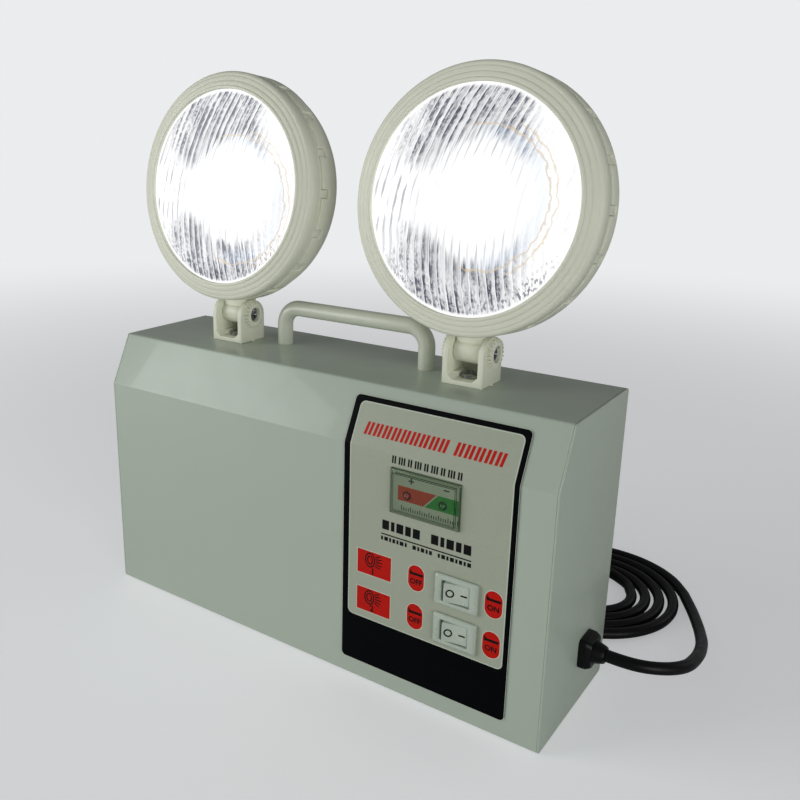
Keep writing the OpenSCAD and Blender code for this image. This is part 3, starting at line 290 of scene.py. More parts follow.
def turned(x=0.0, y=0.0, z=0.0, rx=0.0, ry=0.0, rz=0.0):
    """A place: turned by degrees about X, Y, then Z, and moved."""
    return (Matrix.Translation((x, y, z)) @ Matrix.Rotation(math.radians(rz), 4, "Z")
            @ Matrix.Rotation(math.radians(ry), 4, "Y") @ Matrix.Rotation(math.radians(rx), 4, "X"))


def moved(bm, matrix):
    bmesh.ops.transform(bm, matrix=matrix, verts=bm.verts)
    return bm


def joined(*parts):
    """One mesh from others, each a mesh or a pair of a mesh and its place. The others stay as they were."""
    out = bmesh.new()
    for part in parts:
        bm, matrix = part if isinstance(part, tuple) else (part, None)
        mesh = bpy.data.meshes.new("part")
        bm.to_mesh(mesh)
        if matrix:
            mesh.transform(matrix)
        out.from_mesh(mesh)
        bpy.data.meshes.remove(mesh)
    return out


def rectangle(w, h, r=0.0, steps=4, x=0.0, y=0.0):
    """The outline of a rectangle with rounded corners, counter-clockwise."""
    if not r:
        return [(x + sx * w / 2, y + sy * h / 2) for sx, sy in ((-1, -1), (1, -1), (1, 1), (-1, 1))]
    out = []
    for k, (sx, sy) in enumerate(((1, -1), (1, 1), (-1, 1), (-1, -1))):
        for i in range(steps + 1):
            a = math.radians(90 * (k - 1) + 90 * i / steps)
            out.append((x + sx * (w / 2 - r) + r * math.cos(a), y + sy * (h / 2 - r) + r * math.sin(a)))
    return out


def disc(r, n, x=0.0, y=0.0):
    """The outline of a circle."""
    return [(x + r * math.cos(math.tau * i / n), y + r * math.sin(math.tau * i / n)) for i in range(n)]


def rounded(points, radii, steps=5):
    """An outline whose corners are rounded by the radii given."""
    out = []
    n = len(points)
    for i, radius in enumerate(radii):
        a, b, c = (Vector(points[(i + k) % n]) for k in (-1, 0, 1))
        if not radius:
            out.append(tuple(b))
            continue
        u, w = (a - b).normalized(), (c - b).normalized()
        half = math.acos(max(-1, min(1, u.dot(w)))) / 2
        middle = b + (u + w).normalized() * radius / math.sin(half)
        first, last = b + u * radius / math.tan(half), b + w * radius / math.tan(half)
        start = math.atan2(first.y - middle.y, first.x - middle.x)
        turn = (math.atan2(last.y - middle.y, last.x - middle.x) - start + math.pi) % math.tau - math.pi
        out += [(middle.x + radius * math.cos(start + turn * k / steps),
                 middle.y + radius * math.sin(start + turn * k / steps)) for k in range(steps + 1)]
    return out


def quarter(r, rise, steps, x=0.0, y=0.0):
    """A quarter of an oval, from above its middle (x, y) to the side, without the first point."""
    angles = [math.pi / 2 * k / steps for k in range(1, steps + 1)]
    return [(x + r * math.sin(a), y + rise * math.cos(a)) for a in angles]


def ring_edges(bm, points):
    verts = [bm.verts.new(p) for p in points]
    return [bm.edges.new((a, b)) for a, b in zip(verts, verts[1:] + verts[:1])]


def loft(rings):
    """A closed skin over rings of points that have the same count."""
    bm = bmesh.new()
    loops = [ring_edges(bm, ring) for ring in rings]
    for a, b in zip(loops, loops[1:]):
        bmesh.ops.bridge_loops(bm, edges=a + b)
    for loop in (loops[0], loops[-1]):
        bmesh.ops.contextual_create(bm, geom=loop)
    bmesh.ops.recalc_face_normals(bm, faces=bm.faces)
    return bm


def prism(outline, z0, z1):
    return loft([[(x, y, z) for x, y in outline] for z in (z0, z1)])


def box(x0, x1, y0, y1, z0, z1):
    return prism([(x0, y0), (x1, y0), (x1, y1), (x0, y1)], z0, z1)


def lathe(profile, steps=64, closed=False):
    """A profile of (radius, height) spun about Z."""
    bm = bmesh.new()
    verts = [bm.verts.new((r, 0, z)) for r, z in profile]
    edges = [bm.edges.new(pair) for pair in zip(verts, verts[1:] + (verts[:1] if closed else []))]
    bmesh.ops.spin(bm, geom=verts + edges, cent=(0, 0, 0), axis=(0, 0, 1), angle=math.tau, steps=steps,
                   use_merge=True)
    bmesh.ops.remove_doubles(bm, verts=bm.verts, dist=MERGE)
    bmesh.ops.recalc_face_normals(bm, faces=bm.faces)
    return bm


def bevelled(bm, width, segments=2, angle=30, where=None):
    """Rounds the edges that are sharper than an angle in degrees."""
    bmesh.ops.recalc_face_normals(bm, faces=bm.faces)
    edges = [e for e in bm.edges if len(e.link_faces) == 2 and e.calc_face_angle() > math.radians(angle)
             and (where is None or where(e))]
    bmesh.ops.bevel(bm, geom=edges, offset=width, offset_type="OFFSET", affect="EDGES", segments=segments,
                    profile=0.5, material=-1, clamp_overlap=True)
    return bm


def creased(bm, point, normal):
    """Adds edges where a plane meets the mesh, so that it can bend there."""
    bmesh.ops.bisect_plane(bm, geom=bm.verts[:] + bm.edges[:] + bm.faces[:], plane_co=point, plane_no=normal)


def combined(bm, others, operation="DIFFERENCE"):
    """The mesh with the others cut out of it, or what it shares with them."""
    def as_object(mesh_data, name):
        mesh = bpy.data.meshes.new(name)
        mesh_data.to_mesh(mesh)
        ob = bpy.data.objects.new(name, mesh)
        bpy.context.scene.collection.objects.link(ob)
        return ob
    body = as_object(bm, "body_tool")
    tools = [as_object(other, "cut_tool") for other in others]
    for tool in tools:
        modifier = body.modifiers.new("cut", "BOOLEAN")
        modifier.operation = operation
        modifier.solver = "EXACT"
        modifier.object = tool
    mesh = bpy.data.meshes.new_from_object(body.evaluated_get(bpy.context.evaluated_depsgraph_get()))
    out = bmesh.new()
    out.from_mesh(mesh)
    bpy.data.meshes.remove(mesh)
    for ob in [body] + tools:
        data = ob.data
        bpy.data.objects.remove(ob)
        bpy.data.meshes.remove(data)
    bmesh.ops.remove_doubles(out, verts=out.verts, dist=MERGE)
    bmesh.ops.dissolve_limit(out, angle_limit=FLAT, verts=out.verts, edges=out.edges)
    return out


def piece(name, bm, body, material, replaces=(), smooth=32):
    """Turns a mesh in millimetres into an object that rides on a body."""
    bmesh.ops.recalc_face_normals(bm, faces=bm.faces)
    bmesh.ops.scale(bm, vec=(MM, MM, MM), verts=bm.verts)
    mesh = bpy.data.meshes.new(name)
    bm.to_mesh(mesh)
    bm.free()
    mesh.materials.append(material)
    mesh.shade_smooth()
    mesh.set_sharp_from_angle(angle=math.radians(smooth))
    ob = bpy.data.objects.new(name, mesh)
    bpy.context.scene.collection.objects.link(ob)
    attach(ob, body)
    if replaces:
        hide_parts(*replaces)
    return ob


def dress(material, *names):
    """Gives CAD nodes a material."""
    for name in names:
        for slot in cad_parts[name].material_slots:
            slot.material = material


# Case

CASE_W, FRONT_Y, BACK_Y, CASE_H, SLANT_Z, SLANT_D = 270, -39.5, 39.5, 151, 124, 13
LEAN = math.atan2(SLANT_D, CASE_H - SLANT_Z)
SHEET_T, BEND_R, FLANGE, FLANGE_GAP = 1, 1.6, 12, 0.4
HEAD_X = {"left": -75.7, "right": 71.3}
HANDLE_X = (-47.2, 42.8)
PAN_Y, TILT_Y, TILT_Z = 3.9, 4.1, 166.1
SWITCH_X, SWITCH_Z = 91.7, {"upper": 65.6, "lower": 45.6}
CUTOUT_W, CUTOUT_H = 19.2, 13
LABEL_X, LABEL_T, LED_Z = 73.5, 0.5, 105.8
LED_X, LED_HOLE_R = {"charge": 64.3, "discharge": 82.7}, 1.7
GLAND_Y, GLAND_Z, GLAND_HOLE_R = 9, 29, 6
SCREW_HOLE_R, HANDLE_HOLE_R, HANDLE_Y = 2.08, 2.7, 11
COVER_SCREW_X, COVER_SCREW_SHARES = 128, (0.16, 0.5, 0.82)


def upright(outline, x0, x1):
    """A drawing in (Y, Z), drawn out along X."""
    return loft([[(x, y, z) for y, z in outline] for x in (x0, x1)])


def facing_front(outline, y0, y1):
    """A drawing in (X, Z), drawn out along Y."""
    return loft([[(x, y, z) for x, z in outline] for y in (y0, y1)])


def cylinder_y(x, z, r, y0, y1, n=32):
    return facing_front(disc(r, n, x, z), y0, y1)


def make_case():
    t, back, half = SHEET_T, BACK_Y - SHEET_T, CASE_W / 2 - SHEET_T
    outside = [(back, FLANGE), (back, 0), (FRONT_Y, 0), (FRONT_Y, SLANT_Z), (FRONT_Y + SLANT_D, CASE_H),
               (back, CASE_H), (back, CASE_H - FLANGE)]
    knee = t * math.tan(LEAN / 2)
    rise = t * math.tan((math.pi / 2 - LEAN) / 2)
    inside = [(back - t, CASE_H - FLANGE), (back - t, CASE_H - t), (FRONT_Y + SLANT_D + rise, CASE_H - t),
              (FRONT_Y + t, SLANT_Z - knee), (FRONT_Y + t, t), (back - t, t), (back - t, FLANGE)]
    radii = [0] + [BEND_R] * 5 + [0, 0] + [BEND_R - t] * 5 + [0]
    shell = bevelled(upright(rounded(outside + inside, radii, 8), -half, half), 0.3, 2, 60)
    front, top = (FRONT_Y - 5.5, FRONT_Y + 4.5), (CASE_H - 6, CASE_H + 4)
    holes = [facing_front(rectangle(CUTOUT_W, CUTOUT_H, 0, 1, SWITCH_X, z), *front)
             for z in SWITCH_Z.values()]
    holes += [cylinder_y(x, LED_Z, LED_HOLE_R, *front) for x in LED_X.values()]
    holes += [prism(disc(SCREW_HOLE_R, 24, x, PAN_Y), *top) for x in HEAD_X.values()]
    holes += [prism(disc(HANDLE_HOLE_R, 24, x, HANDLE_Y), *top) for x in HANDLE_X]
    piece("case_sheet", combined(shell, holes), "case", PAINT, ["case_shell"])
    corners = [(BACK_Y, 0), (FRONT_Y, 0), (FRONT_Y, SLANT_Z), (FRONT_Y + SLANT_D, CASE_H), (BACK_Y, CASE_H)]
    plate = rounded(corners, [BEND_R] * 5, 8)
    for side, name in ((-1, "left"), (1, "right")):
        x = sorted((side * half, side * CASE_W / 2))
        panel = bevelled(upright(plate, *x), 0.38, 3, 60)
        inner = sorted((side * half, side * (half - FLANGE)))
        low, high = FLANGE + FLANGE_GAP, CASE_H - FLANGE - FLANGE_GAP
        flange = bevelled(box(*inner, back - t, back, low, high), 0.2)
        middle = side * (half - FLANGE / 2)
        holes = [cylinder_y(middle, CASE_H * s, 1.65, back - t - 1, back + 1, 20) for s in COVER_SCREW_SHARES]
        flange = combined(flange, holes)
        if side > 0:
            gland = moved(prism(disc(GLAND_HOLE_R, 40), -3, 3), turned(x[1], GLAND_Y, GLAND_Z, ry=90))
            panel = combined(panel, [gland])
        piece(name + "_end_plate", joined(panel, flange), "case", PAINT, [name + "_end_panel"])
    dress(PAINT, "rear_cover")


def cross_screw(r, length, head_r, head_h, cross=0.62):
    """A pan-headed screw with a cross recess. Its head stands on Z = 0."""
    crown = head_r * 1.45
    reach = math.asin(min(1, head_r * 0.93 / crown))
    profile = [(crown * math.sin(a), head_h - crown + crown * math.cos(a))
               for a in (reach * k / 6 for k in range(7))]
    profile += [(head_r, profile[-1][1] - head_r * 0.1), (head_r, 0.15), (head_r - 0.15, 0), (r, 0),
                (r, 0.3 - length), (r - 0.3, -length), (0, -length)]
    levels = ((head_h - head_h * 0.75, 0.35), (head_h + 0.5, 1.15))
    slots = [loft([[(x, y, z) for x, y in rectangle(2 * head_r * cross * s, 2 * head_r * 0.13 * s)]
                   for z, s in levels]) for _ in range(2)]
    moved(slots[1], turned(rz=90))
    return combined(lathe(profile, 40), slots)


def make_screws():
    places = [(side, share) for side in (-1, 1) for share in COVER_SCREW_SHARES]
    for i, (side, share) in enumerate(places):
        place = turned(side * COVER_SCREW_X, BACK_Y, CASE_H * share, rx=-90)
        head = moved(cross_screw(1.5, 6, 2.9, 1.6), place)
        piece("cover_screw_%d" % (i + 1), head, "case", STEEL, ["rear_cover_screws"])
    for side, x in HEAD_X.items():
        head = moved(cross_screw(2, 8.6, 4.8, 3, 0.55), turned(x, PAN_Y, CASE_H + 2.4, rz=30))
        piece(side + "_swivel_screw", head, "case", SCREW, ["swivel_screws"])
        head = moved(cross_screw(2, 22.5, 3.7, 2.2, 0.7), turned(x + 10, TILT_Y, TILT_Z, ry=90))
        piece(side + "_cross_screw", head, side + "_yoke", SCREW, [side + "_tilt_screw"])
    dress(STEEL, "handle_nuts", "swivel_nuts", "left_tilt_nut", "right_tilt_nut")


# Label panel: drawn flat in (x, s), where s runs up the front and on up the slanting face

FOLD = BEND_R * math.tan(LEAN / 2)
PRINT_T, LINE_T = 0.03, 0.02
LABEL_EDGE, LABEL_INSIDE = (-44.65, 9.65, 44.65, 147.9), (-44.43, 9.87, 44.43, 147.68)
FIELD_LINE, FIELD_EDGE = (-41.1, 35.1, 42, 145.1), (-40.6, 35.6, 41.5, 144.6)


def wrapped(x, s, h):
    """The place of a point of the label, at a height above the sheet."""
    up = s - SLANT_Z
    if up <= -FOLD:
        return LABEL_X + x, FRONT_Y - h, s
    if up >= FOLD:
        return (LABEL_X + x, FRONT_Y + math.sin(LEAN) * up - math.cos(LEAN) * h,
                SLANT_Z + math.cos(LEAN) * up + math.sin(LEAN) * h)
    turn = LEAN * (up + FOLD) / (2 * FOLD)
    return (LABEL_X + x, FRONT_Y + BEND_R - (BEND_R + h) * math.cos(turn),
            SLANT_Z - FOLD + (BEND_R + h) * math.sin(turn))


def on_label(bm):
    """Wraps a flat mesh, with its height above the sheet as Z, round the front's bend."""
    for k in range(5):
        creased(bm, (0, SLANT_Z + FOLD * (k / 2 - 1), 0), (0, 1, 0))
    for v in bm.verts:
        v.co = wrapped(*v.co)
    return bm


def span(x0, s0, x1, s1, r=0.0, steps=6):
    return rectangle(x1 - x0, s1 - s0, r, steps, (x0 + x1) / 2, (s0 + s1) / 2)


def print_piece(name, shapes, material, height, thick=PRINT_T):
    """Thin marks on the label. Each shape is an outline, or a mesh that is ready."""
    parts = [prism(shape, height, height + thick) if isinstance(shape, list) else shape for shape in shapes]
    piece(name, on_label(joined(*parts)), "case", material)


def words(text, size, x, s, height):
    """Letters as a thin flat mesh."""
    curve = bpy.data.curves.new("letters", "FONT")
    curve.body, curve.size, curve.align_x, curve.align_y = text, size, "CENTER", "CENTER"
    curve.extrude, curve.offset, curve.resolution_u = PRINT_T / 2, size * 0.03, 3
    ob = bpy.data.objects.new("letters", curve)
    bpy.context.scene.collection.objects.link(ob)
    mesh = bpy.data.meshes.new_from_object(ob.evaluated_get(bpy.context.evaluated_depsgraph_get()))
    bm = bmesh.new()
    bm.from_mesh(mesh)
    bpy.data.objects.remove(ob)
    bpy.data.curves.remove(curve)
    bpy.data.meshes.remove(mesh)
    return moved(bm, Matrix.Translation((x, s, height + PRINT_T / 2)))


def bars(x0, x1, s0, s1, widths, lean=0.0, gap=1.0):
    """A row of upright or leaning bars that fills x0 to x1. A negative width is a space."""
    total = sum(abs(w) for w in widths) + gap * (len(widths) - 1)
    k = (x1 - x0 - lean) / total
    out, x = [], x0
    for w in widths:
        if w > 0:
            out.append([(x, s0), (x + w * k, s0), (x + w * k + lean, s1), (x + lean, s1)])
        x += (abs(w) + gap) * k
    return out


def lamp_sign(x, s, height):
    """A lamp with rays, in a red panel."""
    def oval(w, h):
        return [(x - 1.6 + w * c, s + h * d) for c, d in disc(1, 28)]
    shapes = []
    for big, small in (((2.9, 3.9), (2.25, 3.2)), ((1.7, 2.4), (1.05, 1.7))):
        hole = prism(oval(*small), height - 1, height + 1)
        shapes.append(combined(prism(oval(*big), height, height + PRINT_T), [hole]))
    for k in range(5):
        a = math.radians(40 - 20 * k)
        c, d = math.cos(a), math.sin(a)
        p, q = (x + 0.4 + 1.3 * c, s + 3.4 * d), (x + 0.8 + 4.4 * c, s + 5.2 * d)
        shapes.append([(p[0] + 0.34 * d, p[1] - 0.34 * c), (q[0] + 0.26 * d, q[1] - 0.26 * c),
                       (q[0] - 0.26 * d, q[1] + 0.26 * c), (p[0] - 0.34 * d, p[1] + 0.34 * c)])
    return shapes


def make_label():
    top = LABEL_T + LINE_T
    over = top + 0.05

    def border(outer, r, inner):
        """A thin line between two outlines."""
        return combined(prism(span(*outer, r, 8), LABEL_T, top), [prism(span(*inner, 2.4, 8), 0, 2)])
    holes = [prism(rectangle(CUTOUT_W, CUTOUT_H, 0, 1, SWITCH_X - LABEL_X, z), -1, 2)
             for z in SWITCH_Z.values()]
    holes += [prism(disc(LED_HOLE_R, 24, x - LABEL_X, LED_Z), -1, 2) for x in LED_X.values()]
    foil = combined(prism(span(*LABEL_EDGE, 2.6, 8), 0, LABEL_T), holes)
    piece("label_foil", on_label(foil), "case", FOIL, ["label_panel"], smooth=20)
    lines = [border(LABEL_EDGE, 2.6, LABEL_INSIDE), border(FIELD_LINE, 2.9, FIELD_EDGE)]
    print_piece("label_lines", lines, PALE, 0)
    field = combined(prism(span(*FIELD_EDGE, 2.4, 8), LABEL_T, top), holes)
    print_piece("label_field", [field], FIELD, 0)
    title, x = [], -35.5
    for k in range(14):
        title += [[(a, 129.7), (a + 1.5, 129.7), (a + 2.6, 135.9), (a + 1.1, 135.9)] for a in (x, x + 2.3)]
        x += 7.8 if k == 8 else 4.9
    print_piece("label_title", title, RED, top)
    marks = bars(-18, 18, 119.7, 123.4, [0.9, 0.9, -0.5, 0.9, 0.9, 0.9, -0.5] * 4 + [0.9, 0.9], 0.3, 0.6)
    marks += bars(-22.2, 24, 85.7, 90.4, [3, 1.5, 3, 2.4, 3, -3, 3, 1.6, 3, 2.2, 3], 0, 0.9)
    marks.append(span(-22.7, 82.9, 24.3, 83.5))
    small = [0.8, 1.5, 0.8, 1.1, 0.8, 1.5, 0.8, -1.2, 1.4, 0.8, 1.4, 0.8, 1.1, -1.2, 0.8, 1.4, 0.8, 1.5, 0.8,
             1.2, 0.8, 1.4]
    marks += bars(-22.7, 24.3, 80, 82, small, 0, 0.6)
    reds, outlines = [], []
    for sign, z in zip("12", SWITCH_Z.values()):
        low = z - 6.3
        reds.append(span(-35.8, low, -16.8, low + 12.4))
        outlines.append(span(-36.2, low - 0.4, -16.4, low + 12.8, 0.3))
        marks += lamp_sign(-27, low + 7.9, over)
        marks.append(words(sign, 4.6, -27, low + 2.2, over))
        for x, text in ((-3.1, "OFF"), (36.1, "ON")):
            middle = z + 0.3
            reds.append(span(x - 4.2, middle - 6.5, x + 4.2, middle + 6.5, 4.1, 10))
            outlines.append(span(x - 4.6, middle - 6.9, x + 4.6, middle + 6.9, 4.5, 10))
            marks.append([(x - 3.4, middle + 1.4), (x + 3.5, middle + 1.4), (x + 3.5, middle + 2.7),
                          (x - 2.2, middle + 2.7), (x - 3.4, middle + 4)])
            marks.append(words(text, 3.7, x, middle - 2, over))
    print_piece("label_outlines", outlines, PALE, top, LINE_T)
    print_piece("label_reds", reds, RED, top + LINE_T)
    print_piece("label_marks", marks, BLACK, over)


# Meter

METER_W, METER_H, METER_T, METER_Z, METER_SLOPE = 36.3, 22.4, 3, 106.8, 1.95


def clear_plastic():
    """The meter's cover: it lets light through. Its darker tint at glancing angles and on its slopes, and the
    darker lines where its slopes begin and end, are painted shade for light bent by the clear plastic.
    """
    s = Shader("meter_clear")
    clear, gloss, tint = s.node("BsdfTransparent"), s.node("BsdfGlossy"), s.node("MixShader")
    slope = Field(s, s.facing(0.5))
    split = s.node("SeparateXYZ")
    s.put(split.inputs[0], s.place)
    wide = (Field(s, split.outputs[0]) * 1000 - LABEL_X).do("ABSOLUTE") - (METER_W / 2 - METER_SLOPE)
    high = (Field(s, split.outputs[2]) * 1000 - METER_Z).do("ABSOLUTE") - (METER_H / 2 - METER_SLOPE)
    edge = wide.do("MAXIMUM", high)
    # Painted shade: the clear tint is darker at glancing angles and on the slopes
    body = s.mix(slope, tone(252, 254, 251), tone(206, 214, 206))
    body = s.mix(edge.smooth(0, 0.3, 0, 1), body, tone(236, 242, 235))
    # Painted shade: dark lines along the edges of the slopes
    lines = edge.do("ABSOLUTE").smooth(0.06, 0.24, 1, 0)
    lines = lines.do("MAXIMUM", (edge - 1.8).do("ABSOLUTE").smooth(0.06, 0.24, 1, 0))
    s.put(clear.inputs["Color"], s.mix(lines, body, tone(124, 136, 126)))
    s.put(gloss.inputs["Roughness"], s.noise(300, 2).smooth(0.3, 0.7, 0.02, 0.05))
    share = slope.do("POWER", 4.0) * 0.4 + 0.03
    for socket, value in zip(tint.inputs, (share, clear.outputs[0], gloss.outputs[0])):
        s.put(socket, value)
    s.put(s.out.inputs["Surface"], tint.outputs[0])
    return s.material


def make_meter():
    y = FRONT_Y - LABEL_T

    def shell(g):
        """The cover's levels, each set in by g."""
        levels = ((0, 0), (0.8, 0), (METER_T - g - 0.25, 1.65), (METER_T - g, METER_SLOPE))
        return [[(LABEL_X + a, y - t, METER_Z + b)
                 for a, b in rectangle(METER_W - 2 * g - 2 * c, METER_H - 2 * g - 2 * c, 0.7, 3)]
                for t, c in levels]
    hollow = shell(0.9)
    hollow[0] = [(a, b + 1, c) for a, b, c in hollow[0]]
    cover = combined(loft(shell(0)), [loft(hollow)])
    piece("meter_window", cover, "case", clear_plastic(), ["meter_cover"], smooth=12)
    low, high = METER_Z - METER_H / 2 + 1.1, METER_Z + METER_H / 2 - 1.1
    left, right = LABEL_X - (METER_W / 2 - 1.1), LABEL_X + (METER_W / 2 - 1.1)
    plate = facing_front([(left, low), (right, low), (right, high), (left, high)], y - 0.5, y)
    plate = combined(plate, [cylinder_y(x, LED_Z, LED_HOLE_R, y - 1, y + 1, 24) for x in LED_X.values()])
    piece("meter_plate", plate, "case", FIELD, ["meter_scale"])

    def mark(name, outlines, material, depth=0.54):
        """Thin marks on the plate. Each outline is given in (X from the meter's middle, Z)."""
        shapes = [facing_front([(LABEL_X + a, b) for a, b in outline], y - depth, y - 0.49)
                  for outline in outlines]
        piece(name, joined(*shapes), "case", material)
    mark("meter_red", [[(-14, 102.8), (-0.7, 102.8), (5.9, 110), (-14, 110)]], SCALE_RED)
    mark("meter_green", [[(0.2, 102.8), (17, 102.8), (17, 110), (6.8, 110)]], GREEN)
    plus = [[(x - 1.4, 113), (x + 1.4, 113), (x + 1.4, 113.6), (x - 1.4, 113.6)] for x in (-7.2, 10.8)]
    plus.append([(-7.5, 111.9), (-6.9, 111.9), (-6.9, 114.7), (-7.5, 114.7)])
    ticks = []
    for k in range(25):
        x, high = -12 + 1.2 * k, 99.8 if k % 4 else 100.6
        ticks.append([(x, 98.2), (x + 0.4, 98.2), (x + 0.4, high), (x, high)])
    # A black disc behind each lamp shows as a ring round its dome: painted shade at the edge of the lamp's
    # hole
    mark("lamp_hole_painted_shade", [disc(2.1, 32, x - LABEL_X, LED_Z) for x in LED_X.values()], BLACK, 0.58)
    mark("meter_marks", plus + ticks, BLACK)
    kinds = (("charge", "lamp_red", tone(150, 30, 18), 0.15),
             ("discharge", "lamp_green", tone(24, 110, 34), 0.1))
    for name, slot, colour, glow in kinds:
        s = Shader(name + "_lamp_resin")
        resin = s.surface(Base_Color=s.mix(s.noise(900, 2), scaled(colour, 0.7), colour), Roughness=0.08,
                          Coat_Weight=1.0, Coat_Roughness=0.03, Emission_Color=colour, Emission_Strength=glow)
        x = LED_X[name]
        profile = [(0, 2.25)] + quarter(1.5, 1.5, 8, 0, 0.75) + [(1.5, -2), (1.9, -2), (1.9, -3), (0, -3)]
        dome = moved(lathe(profile, 32), turned(x, y + 0.35, LED_Z, rx=90))
        legs = [box(x + dx - 0.25, x + dx + 0.25, y + 3.2, -33.4, LED_Z - 0.25, LED_Z + 0.25)
                for dx in (-0.75, 0.75)]
        piece(name + "_lamp", joined(dome, *legs), "case", resin, [name + "_led"])


# Rocker switches

BEZEL_W, BEZEL_H, ROCKER_Y, ROCKER_REST = 21.6, 15.4, -38.4, 12


def make_switches():
    face = FRONT_Y - LABEL_T - 2
    half, high = 6.1, 4.8

    def on_face(x):
        return -4.2 + 0.8 * (1 - abs(x / half) ** 2.2)

    def printed(outline, holes=()):
        """A thin mark, drawn in (X, Z), that follows the rocker's hollow face."""
        bm = combined(prism(outline, 0, PRINT_T), [prism(hole, -1, 1) for hole in holes])
        for v in bm.verts:
            v.co = (v.co.x, on_face(v.co.x) - 0.01 - v.co.z, v.co.y)
        return bm
    for name, z in SWITCH_Z.items():
        levels = ((1.2, 2, 0), (1.2, 0.72, 0), (1.1, 0.6, 0.08), (0.9, 0.12, 0.8), (0.9, 0, 0.98))
        outer = [[(SWITCH_X + a, face + y, z + b)
                  for a, b in rectangle(BEZEL_W - 2 * c, BEZEL_H - 2 * c, r, 5)]
                 for r, y, c in levels]
        well = facing_front(rectangle(14.2, 10.5, 0.6, 5, SWITCH_X, z), face - 2, face + 4)
        bezel = bevelled(combined(loft(outer), [well]), 0.12, 2, 50)
        body = facing_front(rectangle(18.8, 12.6, 0.4, 3, SWITCH_X, z), FRONT_Y - LABEL_T + 0.02, -26)
        body = combined(body, [facing_front(rectangle(14.3, 10.6, 0.5, 3, SWITCH_X, z), -50, -32.4)])
        body = bevelled(body, 0.2)
        piece(name + "_switch_bezel", joined(bezel, body), "case", WHITE, [name + "_switch"])
        place = turned(SWITCH_X, ROCKER_Y, z, rz=ROCKER_REST)
        curve = [(half * (k / 7 - 1), on_face(half * (k / 7 - 1))) for k in range(15)]
        outline = curve + [(half - 0.2, 0), (5, 2), (-5, 2), (0.2 - half, 0)]
        cap = bevelled(prism(outline, -high, high), 0.4, 3, 40)
        cap = joined(cap, bevelled(prism(disc(1.4, 24), -5.8, 5.8), 0.2))
        rocker = name + "_rocker"
        piece(rocker + "_cap", moved(cap, place), rocker, ROCKER, [rocker])
        steps = [1.8 + 3.1 * k / 6 for k in range(7)]
        dash = [(x, -0.38) for x in steps] + [(x, 0.38) for x in reversed(steps)]
        marks = joined(printed(disc(2, 36, -3.1), [disc(1.3, 36, -3.1)]), printed(dash))
        piece(rocker + "_marks", moved(marks, place), rocker, BLACK)
    dress(BRASS, "switch_terminals", "battery_terminals")


# Yokes and lamp heads, drawn round their own axes

YOKE_W, YOKE_D, EAR_T, HINGE_Y, HINGE_Z, FLOOR_T, GUSSET = 21.2, 19.8, 2.8, 0.2, 15.1, 2.3, 2.7
RING_R, SKIRT_R, SKIRT_IN, COLLAR_R, TABS = 60.2, 59.3, 57.1, 56.95, 18
PIVOT_R, REST_TILT, LENS_FORWARD, LENS_UP, LENS_R = 3.98, 6, 20.1, 68.1, 50.9


def toothed(scale, height):
    """One level of the boss: 22 teeth with hollows between them."""
    teeth = []
    for k in range(22):
        for share, r in ((0.0, 6.2), (0.16, 6.4), (0.3, 7.85), (0.5, 8.05), (0.7, 7.85), (0.84, 6.4)):
            a = math.tau * (k + share) / 22
            teeth.append((r * scale * math.cos(a), r * scale * math.sin(a), height))
    return teeth


def make_yokes():
    outline = [(-YOKE_D / 2, 0), (YOKE_D / 2, 0)]
    outline += [(YOKE_D / 2 * math.cos(a), HINGE_Z - 1.1 + 9.2 * math.sin(a))
                for a in (math.pi * k / 28 for k in range(29))]
    gap = YOKE_W / 2 - EAR_T
    right, left = (turned(s * YOKE_W / 2, HINGE_Y, HINGE_Z, ry=s * 90) for s in (1, -1))
    hollow = [(-gap, FLOOR_T + GUSSET), (-gap + GUSSET, FLOOR_T), (gap - GUSSET, FLOOR_T),
              (gap, FLOOR_T + GUSSET), (gap, 40), (-gap, 40)]
    body = combined(upright(outline, -YOKE_W / 2, YOKE_W / 2), [facing_front(hollow, -20, 20)])
    body = bevelled(body, 0.4, 3, 35)
    socket = moved(prism(disc(PIVOT_R, 40), 0, 10), turned(10, HINGE_Y, HINGE_Z, ry=90))
    hexagon = disc(4.2, 6)
    nut = moved(prism(hexagon, 0, 10), turned(-10, HINGE_Y, HINGE_Z, ry=-90))
    bore = moved(prism(disc(SCREW_HOLE_R, 24), -20, 20), turned(0, HINGE_Y, HINGE_Z, ry=90))
    foot = prism(disc(SCREW_HOLE_R, 24), -1, 6)
    body = combined(body, [socket, nut, bore, foot])
    boss = loft([toothed(*level) for level in ((1, -0.2), (1, 0), (0.92, 1.8), (0.89, 2.08), (0.84, 2.2))])
    levels = ((PIVOT_R, -1), (PIVOT_R, 1.95), (4.3, 2.3))
    recess = loft([[(x, y, z) for x, y in disc(r, 48)] for r, z in levels])
    boss_right = combined(boss, [recess])
    boss_left = combined(boss, [prism(hexagon, -1, 3)])
    block = bevelled(box(-gap - 0.1, -gap + 2.6, -4, 4, 1, FLOOR_T + GUSSET), 0.3)
    wall = bevelled(box(-gap - 0.1, gap + 0.1, YOKE_D / 2 - 2.8, YOKE_D / 2 - 0.02, 1, 11.5), 0.4, 3)
    pip = lathe([(0, 0.95)] + quarter(0.9, 0.9, 5, 0, 0.05) + [(0.9, 0), (0, 0)], 20)
    pip = (pip, turned(YOKE_W / 2 - 0.1, 0, 0))
    whole = joined(body, (boss_right, right), (boss_left, left), block, wall, pip)
    for side, x in HEAD_X.items():
        yoke = joined((whole, turned(x, PAN_Y, CASE_H)))
        piece(side + "_yoke_cast", yoke, side + "_yoke", CREAM, [side + "_yoke"])


def head_place(side):
    return turned(HEAD_X[side], TILT_Y, TILT_Z, rx=-REST_TILT)


def lens_place(side):
    return head_place(side) @ turned(0, -LENS_FORWARD, LENS_UP) @ turned(rx=90)


